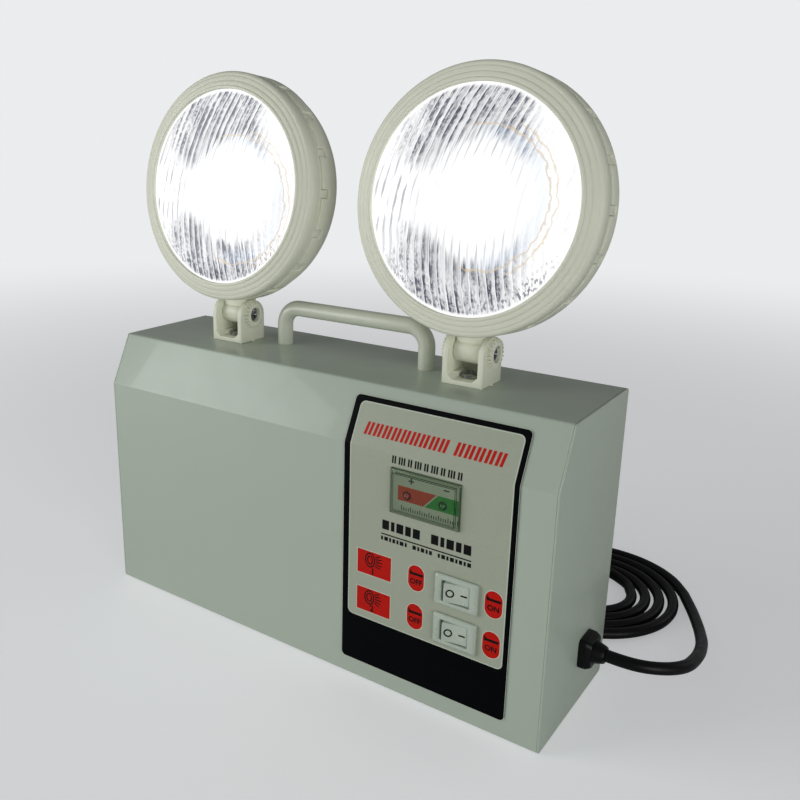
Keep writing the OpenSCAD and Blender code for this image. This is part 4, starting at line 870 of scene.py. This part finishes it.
def wrap_round(bm, cuts):
    """Wraps a flat mesh of (arc length at the ring's radius, height out, height back) round Z."""
    for k in cuts:
        creased(bm, (k, 0, 0), (1, 0, 0))
    for v in bm.verts:
        a, r = v.co.x / RING_R, v.co.y
        v.co = (r * math.cos(a), r * math.sin(a), v.co.z)
    return bm


def all_round(bm):
    """A mesh repeated round Z, once for each tab of the ring."""
    return joined(*[(bm, turned(rz=360 / TABS * k)) for k in range(TABS)])


def pad_strip():
    """The housing's rim: pads, with a notch between them for each tab of the ring."""
    half = math.pi * RING_R / TABS
    n, top, floor, low = 2.2, -11.2, -16.2, -19
    points = [(-half, low), (half, low), (half, top), (n, top), (n, floor), (-n, floor), (-n, top),
              (-half, top)]
    outline = rounded(points, [0, 0, 0, 0.5, 0.9, 0.9, 0.5, 0], 4)
    bm = loft([[(x, r, z) for x, z in outline] for r in (56.9, RING_R)])
    ends = [f for f in bm.faces
            if abs(f.normal.x) > 0.99 and abs(abs(f.calc_center_median().x) - half) < 0.01]
    bmesh.ops.delete(bm, geom=ends, context="FACES_ONLY")
    bevelled(bm, 0.6, 3, 50, lambda e: all(v.co.y > 60 for v in e.verts))
    strip = all_round(wrap_round(bm, [half * k / 4 for k in range(-3, 4)]))
    bmesh.ops.remove_doubles(strip, verts=strip.verts, dist=0.004)
    return strip


def tabs():
    outline = rounded([(-2, -16), (2, -16), (2, -10.6), (-2, -10.6)], [0.6, 0.6, 0, 0], 4)
    bm = loft([[(x, r, z) for x, z in outline] for r in (SKIRT_IN, SKIRT_R)])
    return all_round(wrap_round(bevelled(bm, 0.25, 2, 50), [-1, 0, 1]))


def ring_profile():
    face = [(LENS_R, -1.6), (LENS_R, 0.15), (LENS_R + 0.2, 0.5), (LENS_R + 0.6, 0.62), (52.2, 0.55),
            (52.55, 0.3), (52.75, -0.05), (53.2, -0.12), (54.6, -0.28), (54.95, -0.5), (55.2, -0.85),
            (55.7, -0.98), (57, -1.12), (57.4, -1.3), (57.7, -1.62), (58, -1.72)]
    side = [(RING_R, -8.2), (RING_R - 0.12, -8.42), (RING_R - 0.4, -8.5), (SKIRT_R + 0.1, -8.5),
            (SKIRT_R, -8.65), (SKIRT_R, -10.8), (SKIRT_R - 0.2, -11), (SKIRT_IN, -11), (SKIRT_IN, -4.1),
            (54.5, -4.1), (54.5, -1.6)]
    return face + quarter(2.3, 2.35, 8, 57.9, -4.05) + side


def dome_profile():
    def bowl(out, back):
        return [(16 + out * math.cos(a), -19.8 - back * math.sin(a))
                for a in (math.pi / 2 * k / 20 for k in range(21))]
    wall = [(COLLAR_R - 2, -19), (COLLAR_R - 2, -5.2), (COLLAR_R, -5.2), (COLLAR_R, -16.4), (58.4, -16.4),
            (59.7, -18.7)]
    return [(0, -44)] + bowl(40.6, 24.2)[::-1] + wall + bowl(42.6, 26.2) + [(0, -46)]


def make_heads():
    ring = joined(lathe(ring_profile(), 144, closed=True), tabs())
    strip = pad_strip()
    dome = lathe(dome_profile(), 96)
    knuckle = bevelled(moved(prism(disc(5.8, 48), -7.65, 7.65), turned(ry=90)), 0.9, 3, 50)
    knuckle = combined(knuckle, [moved(prism(disc(SCREW_HOLE_R, 24), -20, 20), turned(ry=90))])
    levels = ((4, 7, -4.6, 4.6), (5.8, 7.5, -4.4, 5.8), (9.7, 7.65, -3.2, 6.6), (13, 10.4, -3.2, 8.4),
              (16.7, 13.5, -3.2, 10.6), (24, 13.5, -3.2, 12))
    neck = loft([[(a, b + (y0 + y1) / 2, z) for a, b in rectangle(2 * w, y1 - y0, 1.2, 4)]
                 for z, w, y0, y1 in levels])
    for side in HEAD_X:
        place, axis, head = lens_place(side), head_place(side), side + "_head"
        piece(side + "_ring_moulded", joined((ring, place)), head, CREAM, [side + "_ring"])
        housing = joined((strip, place), (dome, place), (knuckle, axis), (neck, axis))
        piece(side + "_housing_moulded", housing, head, CREAM, [side + "_housing"])
        make_lens(side)


FLUTE_W = 4.07
# The painted light in each lens's glow: the white patch's middle and radius, the brown line's middle and
# radius, the flutes' drift, and how deep the painted grey shade is
GLOW = {"left": (8, -2, 25.5, 10, -6, 33.5, 0.0, 1.0), "right": (5, 1, 25.5, 6, 2, 31.5, 7.3, 0.82)}


def make_lens(side):
    place = lens_place(side)
    front = [(0, 1.0)] + [(50.6 * k / 16, 1.0 - 2.6 * (k / 16) ** 2) for k in range(1, 17)]
    solid = lathe(front + [(54.35, -1.6), (54.35, -4), (50.6, -4.6), (0, -4.6)], 128)
    back = [(-56, -4.02)]
    for k in range(25):
        back += [(-LENS_R + 0.3 + (k + s) * 4.048, -4 + 1.1 * d)
                 for s, d in ((0, -0.45), (0.2, 0.3), (0.5, 0.8), (0.8, 0.3))]
    back += [(56, -4.02), (56, 4), (-56, 4)]
    flutes = loft([[(x, y, z) for x, z in back] for y in (-56, 56)])
    glass = moved(combined(solid, [flutes], "INTERSECT"), place)
    glow = lens_material(side, place)
    piece(side + "_lens_glass", glass, side + "_head", glow, [side + "_lens"], smooth=25)


def lens_material(side, place):
    """Painted light in the lens's glow: the lit lamp, and the shade of its hammered reflector seen through
    the flutes, worked out in millimetres from the lens's middle.
    """
    mx, my, core, ax, ay, ar, drift, deep = GLOW[side]
    s = Shader(side + "_lens_glow")
    plane = s.node("Mapping", vector_type="TEXTURE")
    s.put(plane.inputs["Vector"], s.place)
    plane.inputs["Location"].default_value = place.translation * MM
    plane.inputs["Rotation"].default_value = (math.radians(90 - REST_TILT), 0, 0)
    plane.inputs["Scale"].default_value = (MM, MM, MM)
    split = s.node("SeparateXYZ")
    s.put(split.inputs[0], plane.outputs[0])
    x, y = Field(s, split.outputs[0]), Field(s, split.outputs[1])
    wobble = s.noise(0.09, 2, 0.5, plane.outputs[0]) - 0.5
    r = (x * x + y * y).do("SQRT")

    def away(cx, cy, wide=1.0):
        return ((x - cx) * (x - cx) * wide + (y - cy) * (y - cy)).do("SQRT")

    def along(across_scale, up_scale):
        """Coordinates that follow the flutes, and jump from one to the next."""
        combine = s.node("CombineXYZ")
        for socket, value in zip(combine.inputs, (u * across_scale, y * up_scale, flute * 0.7)):
            s.put(socket, value)
        return combine.outputs[0]
    # The flutes show as arcs that lean to the right towards the top
    u = x - y * 0.17 - y * y * 0.0046 + wobble * 1.5 + drift
    across, flute = (u / FLUTE_W).do("FRACT"), (u / FLUTE_W).do("FLOOR")
    streak = s.noise(1.0, 3, 0.55, along(0.62, 0.045))
    crumbs = s.noise(1.0, 2, 0.5, along(0.9, 0.5))
    dents = s.cells(1.0, along(0.62, 0.3)).smooth(0.22, 0.55)
    clumps = s.noise(0.07, 2, 0.5, plane.outputs[0]).smooth(0.36, 0.62, 0.6, 1.0)
    out = away(mx, my, 1.1) - core
    zone = (out + (streak - 0.5) * 14).smooth(-2, 6)
    band = (y - my).do("ABSOLUTE").smooth(4, 21).do("MAXIMUM", x.smooth(-15, 3))
    right_fade = x.smooth(14, 36, 1.0, 0.12)
    rim = r.smooth(48.6, 50.6, 1.0, 0.0)
    left_fade = x.smooth(-46, -22, 0.22, 1.0)
    far = r.smooth(34, 44, 0.0, 0.5)
    # Painted shade: grey that darkens each flute towards its left, with a white line near its right
    shade = across.smooth(0.1, 0.85, 1.1, 0.55) * (across - 0.94).do("ABSOLUTE").smooth(0.06, 0.12)
    depth = zone * band * right_fade * rim * left_fade * shade * clumps
    depth = depth * streak.smooth(0.3, 0.62, 0.7 * deep, 1.5 * deep)
    dented = depth * ((dents - 1.0) * far + 1.0) * (crumbs.smooth(0.38, 0.62, 0.6, 1.2) - 1.0)
    depth = dented * r.smooth(26, 44, 0.25, 1.0) + depth
    # Thin dark lines run from the grey part into the white one
    reach = out.smooth(-14, 3)
    spike = ((across - 0.8).do("ABSOLUTE") - reach * 0.13).smooth(0.0, 0.04, 1.0, 0.0)
    spike = spike * reach.smooth(0.12, 0.6) * band * rim * x.smooth(14, 34, 0.5, 0.0)
    depth = depth.do("MAXIMUM", spike * streak.smooth(0.35, 0.6, 0.5, 1.0))
    dashes = s.noise(1.0, 2, 0.5, along(0.6, 0.09)).smooth(0.4, 0.6, 0.25, 1.0)
    dashes = dashes * (across - 0.62).do("ABSOLUTE").smooth(0.05, 0.3, 1.0, 0.0)
    dashes = dashes * x.smooth(-34, -15, 0.7, 0.0) * rim
    depth = depth.do("MAXIMUM", dashes * (y - my).do("ABSOLUTE").smooth(12, 26, 1.0, 0.3))
    specks = s.cells(0.5, plane.outputs[0]).smooth(0.2, 0.45, 0.7, 0.0)
    specks = specks * r.smooth(42, 46) * rim * y.smooth(-30, -14, 1.0, 0.15)
    depth = depth.do("MAXIMUM", specks * crumbs.smooth(0.4, 0.55))
    ticks = crumbs.smooth(0.5, 0.6, 0.0, 0.85) * r.smooth(40, 46) * rim * y.smooth(-36, -18, 1.0, 0.0)
    depth = depth.do("MAXIMUM", ticks * (across - 0.94).do("ABSOLUTE").smooth(0.06, 0.12))
    bulb = (away(-20, 1.8) - 6.6).do("ABSOLUTE").smooth(0.15, 0.7, 0.2, 0.0)
    bulb = bulb * streak.smooth(0.35, 0.6, 0.3, 1.0)
    depth = depth.do("MAXIMUM", bulb).do("MULTIPLY", 1.0, clamp=True)
    greys = s.mix(clumps.do("SUBTRACT", 0.5), tone(96, 100, 114), tone(50, 54, 68))
    colour = s.mix(depth, (1, 1, 1, 1), greys)
    edge = away(ax, ay) - ar + (s.noise(0.16, 3, 0.6, plane.outputs[0]) - 0.5) * 5
    arcs = edge.do("ABSOLUTE").smooth(0.15, 0.6, 1.0, 0.0)
    arcs = arcs.do("MAXIMUM", (edge - 3).do("ABSOLUTE").smooth(0.15, 0.5, 0.8, 0.0) * x.smooth(16, 28))
    colour = s.mix(arcs * x.smooth(-6, 6) * r.smooth(47, 49.5, 0.65, 0.0), colour, tone(212, 186, 140))
    # Painted glare: a bluish haze just inside the brown line
    haze = (edge + 3).do("ABSOLUTE").smooth(1, 6, 0.22, 0.0) * x.smooth(-4, 14)
    colour = s.mix(haze, colour, tone(208, 226, 247))
    fine = s.noise(0.9, 3, 0.7, plane.outputs[0])
    s.material.cycles.emission_sampling = "NONE"
    return s.surface(
        Base_Color=tone(18, 19, 22), Roughness=fine.smooth(0.3, 0.7, 0.04, 0.08), Specular_IOR_Level=0.35,
        Emission_Color=colour, Emission_Strength=1.1, Normal=s.bump(streak * depth, 0.0004, 0.3))


def make_lamps():
    s = Shader("mirror_hammered")
    dents = s.cells(260)
    mirror = s.surface(Base_Color=s.mix(s.noise(40), tone(214, 216, 220), tone(236, 237, 240)), Metallic=1.0,
                       Roughness=dents.smooth(0, 0.8, 0.06, 0.14), Normal=s.bump(dents, 0.0003, 0.6))
    dress(mirror, "left_reflector", "right_reflector")
    s = Shader("lamp_glow")
    glow = s.mix(s.noise(300, 2), tone(255, 246, 226), tone(255, 255, 250))
    lamp = s.surface(Base_Color=tone(250, 247, 235), Roughness=0.1, Emission_Color=glow,
                     Emission_Strength=2.0)
    lamp.cycles.emission_sampling = "NONE"
    dress(lamp, "left_lamp", "right_lamp")
    ceramic = enamel("socket_ceramic", tone(222, 220, 212), 0.45, 900, 0.000004)
    dress(ceramic, "left_lamp_socket", "right_lamp_socket")


# Handle, cord and its bushing, plug

def make_handle():
    dress(HANDLE_PAINT, "handle")


def make_bushing():
    def square(w, r, x):
        return [(x, GLAND_Y + a, GLAND_Z + b) for a, b in rectangle(w, w, r, 6)]

    def circle(r, x):
        return [(x, GLAND_Y + a, GLAND_Z + b) for a, b in disc(r, 36)]
    levels = ((14.2, 2.4, 135), (15, 2.4, 135.4), (15, 2.4, 137.6), (14.7, 2.3, 137.9), (14.7, 2.3, 138.2),
              (15, 2.4, 138.5), (13.6, 2.6, 140.4), (12.9, 2.8, 141))
    head = bevelled(loft([square(*level) for level in levels]), 0.12, 2, 60)
    levels = ((5.6, 140.6), (5.4, 141.4), (4.5, 144.6), (4.2, 145.5), (3.9, 146))
    nose = loft([circle(*level) for level in levels])
    neck = loft([circle(5.8, x) for x in (133.9, 135.2)])
    tail = bevelled(loft([square(13.5, 2.2, x) for x in (126, 134)]), 0.4)
    piece("cord_bushing", joined(head, nose, neck, tail), "case", NYLON, ["strain_relief"])


def make_cord():
    points = [p * MM for p in smooth_route(LEAD + coil_route() + TAIL)]
    data = bpy.data.curves.new("mains_cord", "CURVE")
    data.dimensions = "3D"
    data.bevel_depth = CORD_R * MM
    data.bevel_resolution = 6
    data.use_fill_caps = True
    spline = data.splines.new("POLY")
    spline.points.add(len(points) - 1)
    for point, place in zip(spline.points, points):
        point.co = (*place, 1)
    spline.use_smooth = True
    data.materials.append(RUBBER)
    cord = bpy.data.objects.new("mains_cord", data)
    bpy.context.scene.collection.objects.link(cord)
    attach(cord, "case")
    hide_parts("power_cord", "cord_coil", "cord_tail")
    return cord


def make_plug():
    x, y, z = TAIL[-1]
    slices = ((0, 9.2, 8.6, 3), (3, 9.4, 8.8, 3), (9, 11.2, 10.4, 3.4), (14, 20, 12, 3.6),
              (20, 31, 13.7, 3.4), (23, 34, 14, 3.2), (32.6, 35.3, 14, 3), (33.6, 35.1, 13.8, 3),
              (34, 34.2, 12.9, 3))
    rings = [[(x - d, y + a, z + b) for a, b in rectangle(w, h, r, 5)] for d, w, h, r in slices]
    levels = ((-0.5, 10.4, 9.6), (-0.25, 11.2, 10.4), (0.25, 11.2, 10.4), (0.5, 10.4, 9.6))
    ribs = [loft([[(x - d + e, y + a, z + b) for a, b in rectangle(w, h, 3, 5)] for e, w, h in levels])
            for d in (2.5, 4.8, 7.1)]
    grips = [bevelled(box(x - 31, x - 24, y + s * 17.3, y + s * 17.55, z - 4, z + 4), 0.1) for s in (-1, 1)]
    body = piece("mains_plug", joined(loft(rings), *ribs, *grips), "case", NYLON, ["plug_body"])
    dress(CHROME, "plug_pins")
    return body


# Inner pieces keep their CAD shapes

def make_inside():
    dress(enamel("battery_case", tone(52, 56, 62), 0.5, 500, 0.00001, mottle=0.08), "battery")
    dress(STEEL, "battery_strap", "board_posts")
    s = Shader("core_laminated")
    plates = s.noise(1.0, 2, 0.5, s.stretched((4, 2000, 4)))
    core = s.surface(Base_Color=s.mix(plates, tone(92, 94, 98), tone(128, 128, 130)), Metallic=0.8,
                     Roughness=0.45, Normal=s.bump(plates, 0.0001))
    dress(core, "transformer_core")
    s = Shader("winding_copper")
    wire = s.noise(1.0, 1, 0.5, s.stretched((30, 30, 2600)))
    winding = s.surface(Base_Color=s.mix(wire, tone(140, 76, 36), tone(196, 122, 66)), Metallic=0.7,
                        Roughness=0.35, Normal=s.bump(wire, 0.0002))
    dress(winding, "transformer_coil")
    s = Shader("board_green")
    tracks = s.cells(180)
    board = s.surface(Base_Color=s.mix(tracks.smooth(0.3, 0.4), tone(22, 92, 50), tone(40, 120, 66)),
                      Roughness=0.35, Normal=s.bump(tracks, 0.00003))
    dress(board, "charger_board", "indicator_board")
    dress(enamel("parts_blue", tone(44, 62, 120), 0.4, 800, 0.000004), "relay", "capacitors")
    s = Shader("fuse_glass")
    dust = s.noise(500, 2)
    glass = s.surface(Base_Color=tone(214, 220, 222), Roughness=dust.smooth(0.3, 0.7, 0.08, 0.2),
                      Coat_Weight=0.6)
    dress(glass, "fuse")


# Stage

BACKDROP = (0.83, 0.84, 0.85, 1)


def make_stage():
    bm = bmesh.new()
    bmesh.ops.create_grid(bm, x_segments=1, y_segments=1, size=6)
    mesh = bpy.data.meshes.new("floor")
    bm.to_mesh(mesh)
    bm.free()
    floor = bpy.data.objects.new("floor", mesh)
    bpy.context.scene.collection.objects.link(floor)
    floor.location = (0, 0, -0.0002)

    def seen_share(tree):
        """1 for rays from the camera and through glass, less for reflections."""
        kinds = ("LightPath", "Math", "Math", "Math")
        path, gloss, first, both = (tree.nodes.new("ShaderNode" + kind) for kind in kinds)
        gloss.operation, gloss.inputs[1].default_value = "MULTIPLY", 0.13
        first.operation, both.operation, both.use_clamp = "ADD", "ADD", True
        tree.links.new(path.outputs["Is Glossy Ray"], gloss.inputs[0])
        tree.links.new(path.outputs["Is Camera Ray"], first.inputs[0])
        tree.links.new(path.outputs["Is Transmission Ray"], first.inputs[1])
        tree.links.new(gloss.outputs[0], both.inputs[0])
        tree.links.new(first.outputs[0], both.inputs[1])
        return both.outputs[0]
    # The floor is a little paler than its light, and fades into the backdrop
    s = Shader("floor_pale")
    base = s.mix(s.noise(3), tone(222, 223, 225), tone(228, 229, 231))
    s.surface(Base_Color=base, Roughness=0.6, Specular_IOR_Level=0.2, Normal=s.bump(s.noise(200), 0.00001))
    lit = s.out.inputs["Surface"].links[0].from_socket
    length = s.node("VectorMath", operation="LENGTH")
    s.put(length.inputs[0], s.place)
    seen = Field(s, seen_share(s.tree))
    far = Field(s, length.outputs["Value"]).smooth(0.35, 1.5)
    glow, near, added, fade = s.node("Emission"), s.node("Emission"), s.node("AddShader"), s.node("MixShader")
    glow.inputs["Color"].default_value = near.inputs["Color"].default_value = BACKDROP
    s.put(near.inputs["Strength"], seen * 0.42)
    s.put(added.inputs[0], lit)
    s.put(added.inputs[1], near.outputs[0])
    for socket, value in zip(fade.inputs, (seen * far, added.outputs[0], glow.outputs[0])):
        s.put(socket, value)
    s.put(s.out.inputs["Surface"], fade.outputs[0])
    s.material.cycles.emission_sampling = "NONE"
    floor.data.materials.append(s.material)
    world = bpy.data.worlds.new("studio")
    bpy.context.scene.world = world
    world.use_nodes = True
    tree = world.node_tree
    tree.nodes.clear()
    out, mix = tree.nodes.new("ShaderNodeOutputWorld"), tree.nodes.new("ShaderNodeMixShader")
    lit, seen = (tree.nodes.new("ShaderNodeBackground") for _ in (0, 1))
    lit.inputs["Color"].default_value = (0.95, 0.98, 1, 1)
    lit.inputs["Strength"].default_value = 0.12
    seen.inputs["Color"].default_value = BACKDROP
    seen.inputs["Strength"].default_value = 1.0
    tree.links.new(seen_share(tree), mix.inputs[0])
    tree.links.new(lit.outputs[0], mix.inputs[1])
    tree.links.new(seen.outputs[0], mix.inputs[2])
    tree.links.new(mix.outputs[0], out.inputs["Surface"])

    def area(name, place, target, size, power):
        light = bpy.data.lights.new(name, "AREA")
        light.shape, light.size, light.energy = "SQUARE", size, power
        ob = bpy.data.objects.new(name, light)
        bpy.context.scene.collection.objects.link(ob)
        ob.location = place
        ob.rotation_euler = (Vector(target) - Vector(place)).to_track_quat("-Z", "Y").to_euler()
    area("key", (-1.3, -1.05, 0.4), (0, 0, 0.1), 1.1, 17.1)
    area("fill", (1.4, -0.9, 0.2), (0, 0, 0.1), 1.0, 13.7)
    area("rim", (0.9, 1.1, 0.7), (0, 0, 0.2), 0.7, 0.8)


make_camera()
make_case()
make_screws()
make_label()
make_meter()
make_switches()
make_yokes()
make_heads()
make_lamps()
make_handle()
make_bushing()
cord = make_cord()
plug = make_plug()
make_inside()
make_stage()
bpy.context.scene.view_settings.view_transform = "Standard"
